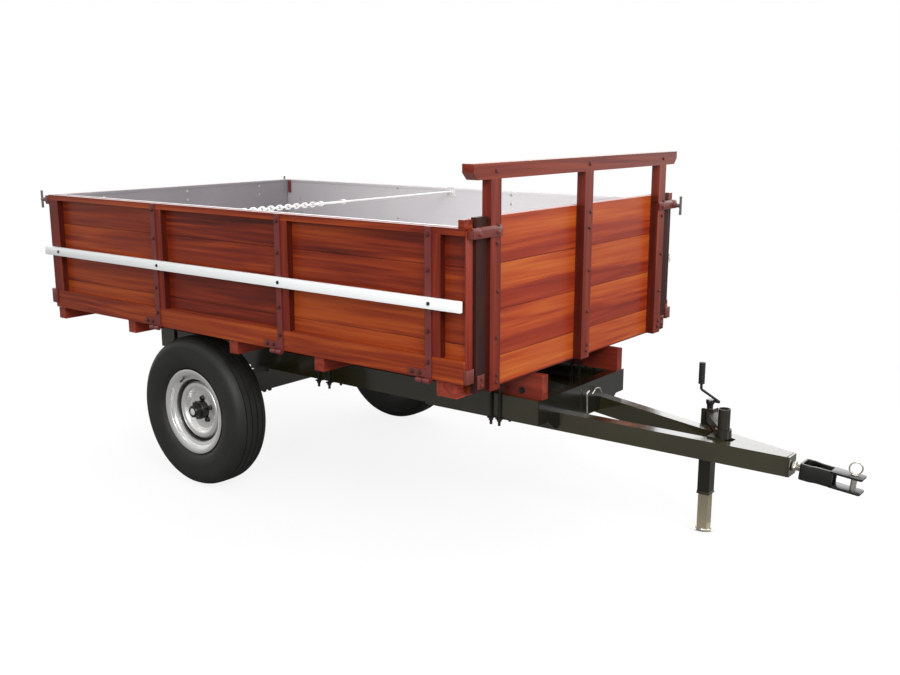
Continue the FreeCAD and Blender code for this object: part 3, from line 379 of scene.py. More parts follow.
@dataclass(frozen=True)
class Paint:
    """Sprayed metal with soft clouds of dust and a fine skin; a wheel has painted shade in the crease
    between its disc and barrel.
    """

    name: str
    colour: str
    dust: str
    roughness: float = 0.3
    metallic: float = 0.0
    coat: float = 0.5
    cloud: float = 0.35
    crease_shade: tuple[float, float] | None = None
    axle: tuple[float, float] = (-1.001, 0.407)

    def fill(self, recipe: Recipe) -> None:
        """Adds the nodes.

        Args:
            recipe: What the nodes go into.
        """
        axes = recipe.axes()
        cloud = recipe.noise(axes, 5.0, 5.0, 0.4)
        colour = recipe.mix((cloud - 0.42) * (self.cloud * 3.0), self.colour, self.dust)
        if self.crease_shade:
            low, high = self.crease_shade
            x, z = axes[0] - self.axle[0], axes[2] - self.axle[1]
            away = (x * x + z * z) ** 0.5
            # Painted shade: a dark ring in the crease between the rim's disc and barrel.
            colour = recipe.mix(away.over(low) * (high - away).over(0.0) * 0.8, colour, "#2c2a22")
        recipe.surface(colour, cloud * 0.16 + (self.roughness - 0.08),
                       (recipe.noise(axes, 320.0, 2.0), 0.12, 0.0003), Metallic=self.metallic,
                       Coat_Weight=self.coat, Coat_Roughness=0.12)


@dataclass(frozen=True)
class SheetMetal:
    """Zinc-grey sheet with faint rolled streaks and spangle, darkened towards the rear by painted shade.
    """

    name: str
    colour: str
    shade: str
    roughness: float = 0.4
    rear_shade: float = 0.0

    def fill(self, recipe: Recipe) -> None:
        """Adds the nodes.

        Args:
            recipe: What the nodes go into.
        """
        axes = recipe.axes()
        x, y, z = axes
        cloud = recipe.noise(axes, 2.2, 4.0, 0.6)
        grain = recipe.noise((x * 6.0, y * 6.0, z * 60.0))
        spangle = recipe.node("TexVoronoi", {"Vector": recipe.vector(axes), "Scale": 55.0}, "Distance")
        colour = recipe.mix(cloud * 0.7 + grain * 0.25 + spangle * 0.12 - 0.25, self.shade, self.colour)
        # Painted shade: darker towards the rear, where the inside of the box lies in shadow.
        colour = recipe.mix(x.fade(-2.1, -0.2, self.rear_shade, 0.0), colour, "#837e82")
        recipe.surface(colour, grain * 0.18 + (self.roughness - 0.06), (cloud + grain * 0.3, 0.18, 0.002),
                       Metallic=0.1, Specular_IOR_Level=0.5)


@dataclass(frozen=True)
class Rubber:
    """Tyre rubber, greyed by dust."""

    name: str
    colour: str
    dust: str

    def fill(self, recipe: Recipe) -> None:
        """Adds the nodes.

        Args:
            recipe: What the nodes go into.
        """
        axes = recipe.axes()
        cloud = recipe.noise(axes, 9.0, 5.0, 0.5)
        skin = recipe.noise(axes, 260.0) * 0.5 + cloud * 0.5
        recipe.surface(recipe.mix(cloud * 0.9 - 0.15, self.colour, self.dust), cloud * 0.15 + 0.47,
                       (skin, 0.16, 0.0009), Specular_IOR_Level=0.45)


@dataclass
class Paintshop:
    """All finishes of the trailer, and the CAD nodes that take them."""

    made: dict[str, bpy.types.Material] = field(default_factory=dict)

    def mix_all(self) -> None:
        """Makes every material once."""
        gate = ("#45120a", "#6f200e", "#8c3312", "#aa4b1a")
        head = ("#7c200e", "#983116", "#b2491b", "#c66a28")
        post = ("#47110a", "#651b10", "#782613", "#90381c")
        beam = ("#43100a", "#641c10", "#762a18", "#883722")
        bearer = ("#501610", "#782a1b", "#8e3526", "#a04432")
        frame = ("#40110a", "#661e12", "#7c2a1c", "#903826")
        # Painted shade: a near-black copy of the post wood for the corner posts and the left gate's end
        # strip, which lie in shadow.
        corner = ("#190905", "#270d08", "#33110b", "#43180f")
        # Painted highlight: a brighter copy of the wood for the right gate's end strip, where light falls
        # on the gate's front end.
        end = ("#6e2216", "#842c1c", "#923624", "#a2432c")
        floor = ("#5c3420", "#7c4a2c", "#94603a", "#ac7a50")
        board = dict(wander=0.78, lift=0.035, dim=0.08)
        rail = dict(pitch=2.0, start=0.1, run=9.0)
        upright = dict(pitch=0.9, start=-2.0, run=9.0, spread=0.2)
        finishes = (
            Timber("gate_board_wood", Grain.ALONG_X, gate, **board),
            Timber("tail_board_wood", Grain.ALONG_Y, gate, run=0.9, phase=-1.35, **board),
            # ends paints shade on the boards' ends beside the corner posts, where they lie in shadow.
            Timber("headboard_wood", Grain.ALONG_Y, head, pitch=0.204, start=0.739, run=9.0, phase=-4.0,
                   heart=0.20, lift=0.07, wander=0.62, spread=0.12, ends=0.860),
            Timber("rail_wood_x", Grain.ALONG_X, gate, phase=-5.0, dim=0.08, **rail),
            Timber("rail_wood_y", Grain.ALONG_Y, gate, phase=-4.0, dim=0.08, **rail),
            Timber("corner_wood", Grain.ALONG_Z, corner, gloss=0.75, **upright),
            Timber("end_wood", Grain.ALONG_Z, end, **upright),
            # face paints shade on the posts' side faces: the gate posts inside their outer face, the
            # headboard posts behind their front.
            Timber("post_wood", Grain.ALONG_Z, post, face=0.9435, shade_axis=1, **upright),
            Timber("headboard_post_wood", Grain.ALONG_Z, post, face=0.8885, **upright),
            Timber("beam_wood", Grain.ALONG_Y, beam, phase=-4.0, spread=0.2, **rail),
            Timber("bearer_wood", Grain.ALONG_Y, bearer, phase=-4.0, spread=0.2, **rail),
            Timber("frame_wood", Grain.ALONG_X, frame, phase=-5.0, spread=0.2, **rail),
            Timber("floor_wood", Grain.ALONG_X_FLAT, floor, pitch=0.146, start=-0.8755, gloss=0.55),
            # The lining takes painted shade towards the rear.
            SheetMetal("lining_sheet", "#f4f2f2", "#dedbdd", rear_shade=0.6),
            # Painted shade: a darker copy of the lining sheet for the tailgate, whose inside lies in
            # shadow.
            SheetMetal("tail_sheet", "#9b969a", "#817c80"),
            Paint("strap_paint", "#6c2b28", "#803e38", 0.38, coat=0.2),
            Paint("frame_paint", "#2c2914", "#403b20", 0.22, coat=1.0),
            # Painted shade: a near-black copy of the frame paint for the front cross channel, whose face
            # lies in shadow.
            Paint("shaded_cross_paint", "#12110a", "#1c1b12", 0.26, coat=0.6),
            Paint("black_paint", "#0b0b08", "#1b1b15", 0.32, coat=0.3),
            Paint("white_paint", "#fcfefe", "#f0f3f4", 0.35, coat=0.3, cloud=0.15),
            Paint("bracket_paint", "#6a2a22", "#7a3c34", 0.4, coat=0.2),
            Paint("post_bolt_paint", "#4c1812", "#63261c", 0.4, coat=0.2),
            # The rim takes painted shade in its crease.
            Paint("rim_paint", "#f8f8f6", "#d8d6cc", 0.36, 0.85, 0.1, 0.2, crease_shade=(0.1580, 0.1745)),
            Paint("bracket_steel", "#1c1a0c", "#2c2813", 0.45, coat=0.1),
            Paint("bright_zinc", "#f4f4f2", "#d6d5d2", 0.25, metallic=0.4, coat=0.0),
            Paint("latch_steel", "#766c6a", "#4a4442", 0.35, metallic=0.4, coat=0.2),
            Paint("zinc", "#c3c0b6", "#8d897c", 0.3, metallic=0.8, coat=0.0),
            Paint("leg_steel", "#b2a98f", "#857d68", 0.34, metallic=0.5, coat=0.0),
            Paint("dark_bolt", "#1c1a1a", "#3a3432", 0.35, metallic=0.3, coat=0.2),
            Rubber("tyre_rubber", "#1b1c19", "#2c2c28"),
            Rubber("grip_rubber", "#141414", "#242424"),
        )
        for finish in finishes:
            recipe = Recipe(bpy.data.materials.new(finish.name))
            finish.fill(recipe)
            self.made[finish.name] = recipe.owner

    def coat_nodes(self, nodes: dict[str, Thing]) -> None:
        """Gives each CAD node its material.

        Args:
            nodes: The CAD nodes by name.
        """
        rules = {
            "gate_boards": "gate_board_wood", "tailgate_boards": "tail_board_wood",
            "headboard_boards": "headboard_wood", "gate_rails": "rail_wood_x",
            "tailgate_rails": "rail_wood_y", "gate_posts": "post_wood", "tailgate_posts": "post_wood",
            "headboard_posts": "headboard_post_wood", "corner_posts": "corner_wood",
            "headboard_beam": "beam_wood", "cross_bearers": "bearer_wood", "timber_rails": "frame_wood",
            "floor_boards": "floor_wood", "gate_straps": "strap_paint", "tailgate_straps": "strap_paint",
            "rub_rail": "white_paint", "rim": "rim_paint", "tyre": "tyre_rubber", "hub": "black_paint",
            "u_bolts": "dark_bolt", "rear_latch": "latch_steel", "front_latch": "latch_steel",
            "jack_crank": "black_paint", "hitch_clevis": "black_paint", "hitch": "zinc",
            "box_chain": "bright_zinc", "side_hinges": "strap_paint", "tail_hinges": "strap_paint",
            "front_crossmember": "shaded_cross_paint", "jack_bracket": "bracket_steel",
            "jack_tube": "bracket_steel", "tailgate_lining": "tail_sheet", "gate_lining": "lining_sheet",
            "floor_lining": "lining_sheet", "headboard_lining": "lining_sheet",
            "jack_leg": "leg_steel", "jack_foot": "zinc"}
        for name, node in nodes.items():
            chosen = next((finish for start, finish in rules.items() if name.startswith(start)),
                          "frame_paint")
            for place in node.material_slots:
                place.material = self.made[chosen]
            LOG.info("%s takes %s", name, chosen)


@dataclass(frozen=True)
class Spot:
    """Where a copy goes, and the way that its own Z points there."""

    place: Point
    facing: Point = UP
    roll: float = 0.0

    def matrix(self) -> Matrix:
        """Gives the move from the origin to the spot."""
        turn = Vector(UP).rotation_difference(Vector(self.facing)).to_matrix().to_4x4()
        return Matrix.Translation(self.place) @ turn @ Matrix.Rotation(self.roll, 4, "Z")


@dataclass
class Workbench:
    """Makes meshes with the modelling operators, one step after another, and dresses them."""

    shop: Paintshop

    @staticmethod
    def alone(*things: Thing) -> None:
        """Leaves edit mode and selects only these objects, with the last one active.

        Args:
            *things: The objects.
        """
        if bpy.context.mode != "OBJECT":
            bpy.ops.object.mode_set(mode="OBJECT")
        bpy.ops.object.select_all(action="DESELECT")
        for thing in things:
            thing.select_set(True)
        bpy.context.view_layer.objects.active = things[-1] if things else None

    @staticmethod
    def applied() -> Thing:
        """Puts the place of what is selected in its mesh and gives the active object."""
        bpy.ops.object.transform_apply(location=True, rotation=True, scale=True)
        return bpy.context.active_object

    def pick(self, thing: Thing, test: Callable[[Vector], bool]) -> None:
        """Goes into edit mode with the vertices selected whose place passes a test.

        Args:
            thing: The object.
            test: Says of a place whether it is wanted.
        """
        self.alone(thing)
        bpy.ops.object.mode_set(mode="EDIT")
        bpy.ops.mesh.select_mode(type="VERT")
        bpy.ops.mesh.select_all(action="DESELECT")
        bpy.ops.object.mode_set(mode="OBJECT")
        for vertex in thing.data.vertices:
            vertex.select = test(vertex.co)
        bpy.ops.object.mode_set(mode="EDIT")

    def pull(self, thing: Thing, test: Callable[[Vector], bool], move: Point) -> None:
        """Moves the vertices whose place passes a test.

        Args:
            thing: The object.
            test: Says of a place whether it moves.
            move: How far along X, Y and Z.
        """
        self.pick(thing, test)
        bpy.ops.transform.translate(value=move)
        self.alone(thing)

    def soften(self, thing: Thing, width: float) -> Thing:
        """Rounds the sharp edges.

        Args:
            thing: The object.
            width: How wide each rounding is.

        Returns:
            The same object.
        """
        self.alone(thing)
        bevel = thing.modifiers.new("round", "BEVEL")
        bevel.width = width
        bevel.segments = 2
        bevel.limit_method = "ANGLE"
        bevel.angle_limit = math.radians(35)
        bpy.ops.object.modifier_apply(modifier=bevel.name)
        return thing

    def block(self, size: Point, centre: Point, edge: float = 0.0015) -> Thing:
        """Makes a block with rounded edges.

        Args:
            size: Its length along X, Y and Z.
            centre: Its middle.
            edge: How wide the rounding is.

        Returns:
            The object.
        """
        self.alone()
        bpy.ops.mesh.primitive_cube_add(size=1.0, location=centre)
        bpy.context.active_object.scale = size
        return self.soften(self.applied(), edge)

    def rod(self, radius: float, start: Point, end: Point, sides: int = 20,
            edge: float = 0.001) -> Thing:
        """Makes a round bar between two points with rounded ends.

        Args:
            radius: Its radius.
            start: The middle of its first end.
            end: The middle of its other end.
            sides: Its faces around.
            edge: How wide the rounding is.

        Returns:
            The object.
        """
        self.alone()
        first, last = Vector(start), Vector(end)
        turn = Vector(UP).rotation_difference(last - first).to_euler()
        bpy.ops.mesh.primitive_cylinder_add(vertices=sides, radius=radius, depth=(last - first).length,
                                            location=(first + last) / 2, rotation=turn)
        return self.soften(self.applied(), edge)

    def ring(self, radius: float, wire: float, sides: tuple[int, int] = (20, 8), centre: Point = MIDDLE,
             turn: Point = MIDDLE) -> Thing:
        """Makes a ring of round wire.

        Args:
            radius: The radius of the wire's middle line.
            wire: The wire's radius.
            sides: Its faces around the ring and around the wire.
            centre: Its middle.
            turn: Its turn about X, Y and Z from lying flat.

        Returns:
            The object.
        """
        self.alone()
        bpy.ops.mesh.primitive_torus_add(major_radius=radius, minor_radius=wire, major_segments=sides[0],
                                         minor_segments=sides[1], location=centre, rotation=turn)
        return self.applied()

    def trace(self, route: Sequence[Point], closed: bool = False) -> Thing:
        """Draws a line of edges by extruding one vertex from point to point.

        Args:
            route: The line's points.
            closed: Whether the last point joins the first.

        Returns:
            The object, left in edit mode with everything selected.
        """
        self.alone()
        bpy.ops.mesh.primitive_plane_add(size=0.01, location=route[0])
        thing = self.applied()
        bpy.ops.object.mode_set(mode="EDIT")
        bpy.ops.mesh.select_mode(type="VERT")
        bpy.ops.mesh.select_all(action="SELECT")
        bpy.ops.mesh.merge(type="CENTER")
        for before, after in zip(route, route[1:]):
            step = Vector(after) - Vector(before)
            bpy.ops.mesh.extrude_region_move(TRANSFORM_OT_translate={"value": step})
        if closed:
            ends = Vector(route[0]), Vector(route[-1])
            self.pick(thing, lambda spot: any((spot - end).length < 1e-5 for end in ends))
            bpy.ops.mesh.edge_face_add()
        bpy.ops.mesh.select_all(action="SELECT")
        return thing

    def lathe(self, profile: Profile, centre: Point = MIDDLE, steps: int = 72, axis: Point = SIDEWAYS,
              closed: bool = False) -> Thing:
        """Spins a profile about a line along Y or Z.

        Args:
            profile: Radius and place along the axis for each point.
            centre: The point of the axis that the places are counted from.
            steps: The faces around.
            axis: The axis, along Y or Z.
            closed: Whether the profile's last point joins its first.

        Returns:
            The object.
        """
        route = [tuple(Vector(centre) + Vector((radius, 0, 0)) + Vector(axis) * along)
                 for radius, along in profile]
        thing = self.trace(route, closed)
        bpy.ops.mesh.spin(steps=steps, angle=math.tau, center=centre, axis=axis)
        return self.merge(thing)

    def plate(self, outline: Sequence[Point], through: Point, edge: float = 0.001) -> Thing:
        """Makes a plate from its outline.

        Args:
            outline: The points round one face.
            through: The way to the other face.
            edge: How wide the rounding is.

        Returns:
            The object.
        """
        thing = self.trace(outline)
        bpy.ops.mesh.edge_face_add()
        bpy.ops.mesh.extrude_region_move(TRANSFORM_OT_translate={"value": through})
        return self.soften(self.merge(thing), edge)

    def pipe(self, route: Sequence[Point], radius: float, corner: float,
             closed: bool = False) -> Thing:
        """Bends a round wire along a route.

        Args:
            route: The corners of its middle line.
            radius: The wire's radius.
            corner: How far from each corner the bend starts.
            closed: Whether the wire is a ring.

        Returns:
            The object.
        """
        thing = self.trace(route, closed)
        ends = () if closed else (Vector(route[0]), Vector(route[-1]))
        self.pick(thing, lambda spot: all((spot - end).length > 1e-5 for end in ends))
        bpy.ops.mesh.bevel(offset=corner, segments=6, affect="VERTICES")
        self.alone(thing)
        bpy.ops.object.convert(target="CURVE")
        wire = bpy.context.active_object.data
        wire.bevel_depth = radius
        wire.bevel_resolution = 3
        wire.use_fill_caps = True
        bpy.ops.object.convert(target="MESH")
        return self.merge(bpy.context.active_object)

    def merge(self, thing: Thing) -> Thing:
        """Merges doubled vertices and turns the faces outwards.

        Args:
            thing: The object.

        Returns:
            The same object.
        """
        self.alone(thing)
        bpy.ops.object.mode_set(mode="EDIT")
        bpy.ops.mesh.select_all(action="SELECT")
        bpy.ops.mesh.remove_doubles(threshold=0.00002)
        bpy.ops.mesh.normals_make_consistent(inside=False)
        self.alone(thing)
        return thing

    def join(self, *things: Thing) -> Thing:
        """Makes one object of several.

        Args:
            *things: The objects.

        Returns:
            The one object.
        """
        self.alone(*things)
        bpy.ops.object.join()
        return bpy.context.active_object

    def copies(self, model: Thing, spots: Iterable[Spot]) -> Thing:
        """Puts a copy of a piece at each spot instead of the piece, and joins the copies.

        Args:
            model: The piece, modelled at the origin with its head along Z.
            spots: Where the copies go.

        Returns:
            The joined object.
        """
        made = []
        for spot in spots:
            copy = model.copy()
            copy.data = model.data.copy()
            bpy.context.scene.collection.objects.link(copy)
            copy.matrix_world = spot.matrix()
            made.append(copy)
        bpy.data.objects.remove(model)
        self.alone(*made)
        self.applied()
        return self.join(*made)

    def dress(self, name: str, thing: Thing, body: str, finish: str, *replaced: str,
              slot: str = "") -> Thing:
        """Finishes a piece and hangs it on its body.

        Args:
            name: The piece's name.
            thing: The piece.
            body: The CAD body that it moves with.
            finish: The material's name.
            *replaced: The CAD nodes that it stands for.
            slot: The record's material slot, where it isn't the finish's own; not used.

        Returns:
            The piece.
        """
        self.alone(thing)
        thing = self.applied()
        thing.name = name
        bpy.ops.object.shade_smooth_by_angle(angle=math.radians(32))
        thing.data.materials.clear()
        thing.data.materials.append(self.shop.made[finish])
        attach(thing, body)
        if replaced:
            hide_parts(*replaced)
        LOG.info("%s on %s, %d faces", name, body, len(thing.data.polygons))
        return thing

    def hexagon(self, across: float, height: float, washer: float = 0.0) -> Thing:
        """Models a bolt's hexagon head on a washer, at the origin with its stub along Z.

        Args:
            across: The head's radius to its corners.
            height: The head's height.
            washer: The washer's radius, or none.

        Returns:
            The bolt's head.
        """
        base = 0.002 if washer else 0.0
        parts = [self.rod(washer, (0, 0, -0.001), (0, 0, base), 20, 0.0006)] if washer else []
        edge = across * 0.12
        for radius, top, sides in ((across, base + height, 6), (across / 2, base + height * 1.35, 14)):
            parts.append(self.rod(radius, (0, 0, base), (0, 0, top), sides, edge))
        return self.join(*parts)

    def dome(self, radius: float = 0.009, height: float = 0.004) -> Thing:
        """Models a carriage bolt's round head at the origin.

        Args:
            radius: The head's radius.
            height: The head's height.

        Returns:
            The bolt's head.
        """
        turns = [math.pi / 2 * number / 4 for number in range(4)]
        profile = [(radius * math.cos(turn), height * math.sin(turn)) for turn in turns]
        return self.lathe([(radius, -0.001)] + profile + [(0.0, height)], MIDDLE, 18, UP)


@dataclass
class Fittings(Workbench):
    """What each sub-assembly shares: its tools, the side that it is on and the box's main sizes."""

    side: Side = Side.RIGHT
    rear: float = -2.140
    length: float = 3.0
    top: float = 1.519
    inner: float = 0.8845
    fold: Point = (0.020, 0.016, 0.0016)

    @property
    def out(self) -> float:
        """Gives the sign of Y on this side."""
        return -1.0 if self.side is Side.RIGHT else 1.0

    def sided(self, start: str) -> str:
        """Gives a name that ends with this side's."""
        return start + self.side.value

    def lip_profile(self) -> Profile:
        """Gives the sheet's fold over a gate's top edge, as places outward and heights.

        Returns:
            The fold's corners in order.
        """
        reach, drop, sheet = self.fold
        low, high = self.top - drop, self.top + sheet
        return [(0.0, low), (0.0, self.top), (reach, self.top), (reach, high), (-sheet, high),
                (-sheet, low)]

    def dress_all(self, body: str, rows: Iterable[Sequence[Any]]) -> None:
        """Dresses pieces on one body, each given as name, object, finish and the nodes replaced."""
        for name, thing, *rest in rows:
            self.dress(name, thing, body, *rest)


@dataclass
class Wheel(Fittings):
    """One road wheel: tyre with ribbed tread, drop-centre rim, pressed disc, hub and nuts.

    Profiles are lists of radius and place along the axle from the tyre's middle.
    """

    radius: float = 0.407
    half_width: float = 0.104
    widest: float = 0.325
    shoulder: float = 3.4
    wall_reach: float = 0.1146
    wall_power: float = 2.4
    bead: float = 0.2045
    wall_span: tuple[float, float] = (0.241, 0.378)
    wall_steps: int = 15
    thickness: float = 0.012
    grooves: tuple[float, ...] = (0.053, 0.0185, -0.0185, -0.053)
    groove_half: float = 0.0035
    groove_depth: float = 0.007
    groove_edge: float = 0.010
    tread_edges: tuple[float, float] = (0.091, 0.084)
    nuts: int = 5
    nut_circle: float = 0.0635
    steps: int = 96

    def build(self) -> None:
        """Models the wheel's pieces about the origin, then turns and moves them onto the axle."""
        low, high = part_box(self.sided("tyre_"))
        for name, model, finish, node, slot in (
                ("tyre_dress_", self.tyre, "tyre_rubber", "tyre_", ""),
                ("rim_dress_", self.rim, "rim_paint", "rim_", ""),
                ("hub_dress_", self.hub, "black_paint", "hub_", ""),
                ("wheel_nuts_", self.wheel_nuts, "black_paint", "", ""),
                ("cap_button_", self.cap_button, "bright_zinc", "", ""),
                ("valve_", self.valve, "grip_rubber", "", "tyre_black")):
            thing = model()
            thing.rotation_euler = Euler((0, 0, math.pi if self.side is Side.LEFT else 0))
            thing.location = (low + high) / 2
            replaced = [self.sided(node)] if node else []
            self.dress(self.sided(name), thing, self.sided("wheel_"), finish, *replaced, slot=slot)

    def half_at(self, radius: float) -> float:
        """Gives the tyre's half width at a radius.

        Args:
            radius: The distance from the axle.

        Returns:
            Half the width there.
        """
        outside = radius > self.widest
        reach = self.radius - self.widest if outside else self.wall_reach
        power = self.shoulder if outside else self.wall_power
        return self.half_width * max(0.0, 1 - (abs(radius - self.widest) / reach) ** power) ** (1 / power)

    def crown_at(self, along: float) -> float:
        """Gives the tyre's radius at a place across the tread."""
        share = (1 - abs(along / self.half_width) ** self.shoulder) ** (1 / self.shoulder)
        return self.widest + (self.radius - self.widest) * share

    def tyre(self) -> Thing:
        """Spins the tyre, with two fine ribs on each sidewall and grooves round the tread.

        Returns:
            The tyre.
        """
        wall = [(self.bead, 0.066), (0.233, 0.0705)]
        ribs = {2: 0.0018, 13: 0.0010}
        low, high = self.wall_span
        for number in range(self.wall_steps + 1):
            radius = low + (high - low) * number / self.wall_steps
            wall.append((radius, self.half_at(radius) + ribs.get(number, 0.0)))
        tread = [(self.crown_at(place), place) for place in self.tread_edges]
        edge, deep = self.groove_half, self.groove_depth
        for place in self.grooves:
            top = self.crown_at(place)
            before, after = place + edge + self.groove_edge, place - edge - self.groove_edge
            tread += [(self.crown_at(before), before), (top, place + edge),
                      (top - deep, place + edge * 0.6), (top - deep, place - edge * 0.6),
                      (top, place - edge), (self.crown_at(after), after)]
        tread += [(self.crown_at(place), -place) for place in reversed(self.tread_edges)]
        inner = [(radius - self.thickness, along * 0.86) for radius, along in wall[2:]]
        foot = self.bead + self.thickness
        profile = wall + tread + [(radius, -along) for radius, along in reversed(wall)]
        profile += [(foot, -0.058)] + [(radius, -along) for radius, along in inner]
        profile += inner[::-1] + [(foot, 0.058)]
        return self.lathe(profile, MIDDLE, self.steps, closed=True)

    def rim(self) -> Thing:
        """Spins the rim's barrel and its pressed disc.

        Returns:
            The rim.
        """
        outer = points(232, -80, 230.5, -76.5, 217, -74.5, 204, -70, 202.8, -50, 198.5, -46.5, 179, -43,
                       176, -40, 176, 8, 180, 12, 201, 16, 203, 20, 204, 69, 217, 74, 230.5, 76.5,
                       232, 80)
        inside = points(226.5, 80, 214, 78.5, 198.5, 73, 197.5, 22, 195, 19, 174.5, 15, 170.5, 9,
                        170.5, -42, 174, -47.5, 194, -51, 197, -54, 198.5, -73, 214, -78.5, 226.5, -81)
        barrel = self.lathe(outer + inside, MIDDLE, self.steps, closed=True)
        self.soften(barrel, 0.0015)
        front = points(173, -8.5, 168, -9.5, 160, -18, 155, -32, 148, -38.5, 137, -40.5, 126, -38.5,
                       119, -33, 112, -18, 105, -9, 85, -8, 56, -8, 52, -10)
        back = points(52, -1, 85, -1, 107, -1.5, 117, -12, 124.5, -27, 129, -31.5, 137, -33, 146, -31.5,
                      150, -25, 156, -10, 165, -3, 173, -2.5)
        return self.join(self.lathe(front + back, MIDDLE, self.steps, closed=True), barrel)

    def hub(self) -> Thing:
        """Spins the hub with its flange, its outer barrel and its grease cap.

        Returns:
            The hub.
        """
        profile = points(29.5, 99, 50, 99, 50, 14, 83.5, 12, 84, -0.5, 50, -1, 49.5, -44, 46, -48,
                         40, -48, 39, -46, 35, -46, 34, -50, 33.5, -77, 30, -82.5, 21, -83.8, 20, -81,
                         0, -81)
        return self.soften(self.lathe(profile, MIDDLE, 48), 0.0012)

    def cap_button(self) -> Thing:
        """Spins the bright button in the middle of the grease cap."""
        profile = points(0, -80.5, 18.5, -80.5, 18.5, -82.2, 16.5, -83.2, 0, -83.8)
        return self.lathe(profile, MIDDLE, 32)

    def wheel_nuts(self) -> Thing:
        """Models a wheel nut and sets it round the hub.

        Returns:
            The nuts.
        """
        turns = [math.tau * number / self.nuts + 0.3 for number in range(self.nuts)]
        spots = [Spot((self.nut_circle * math.cos(turn), -0.0080, self.nut_circle * math.sin(turn)),
                      (0, -1, 0), turn) for turn in turns]
        return self.copies(self.hexagon(0.0125, 0.014, 0.0145), spots)

    def valve(self) -> Thing:
        """Makes the valve's stem, which leans out of the rim's barrel, and turns it round the axle.

        Returns:
            The valve.
        """
        stem = self.rod(0.0045, (0.192, -0.050, 0), (0.181, -0.074, 0), 12, 0.0008)
        cap = self.rod(0.0055, (0.183, -0.069, 0), (0.177, -0.082, 0), 12)
        thing = self.join(stem, cap)
        bpy.ops.object.mode_set(mode="EDIT")
        bpy.ops.mesh.select_all(action="SELECT")
        bpy.ops.transform.rotate(value=2.1, orient_axis="Y", center_override=MIDDLE)
        self.alone(thing)
        return thing


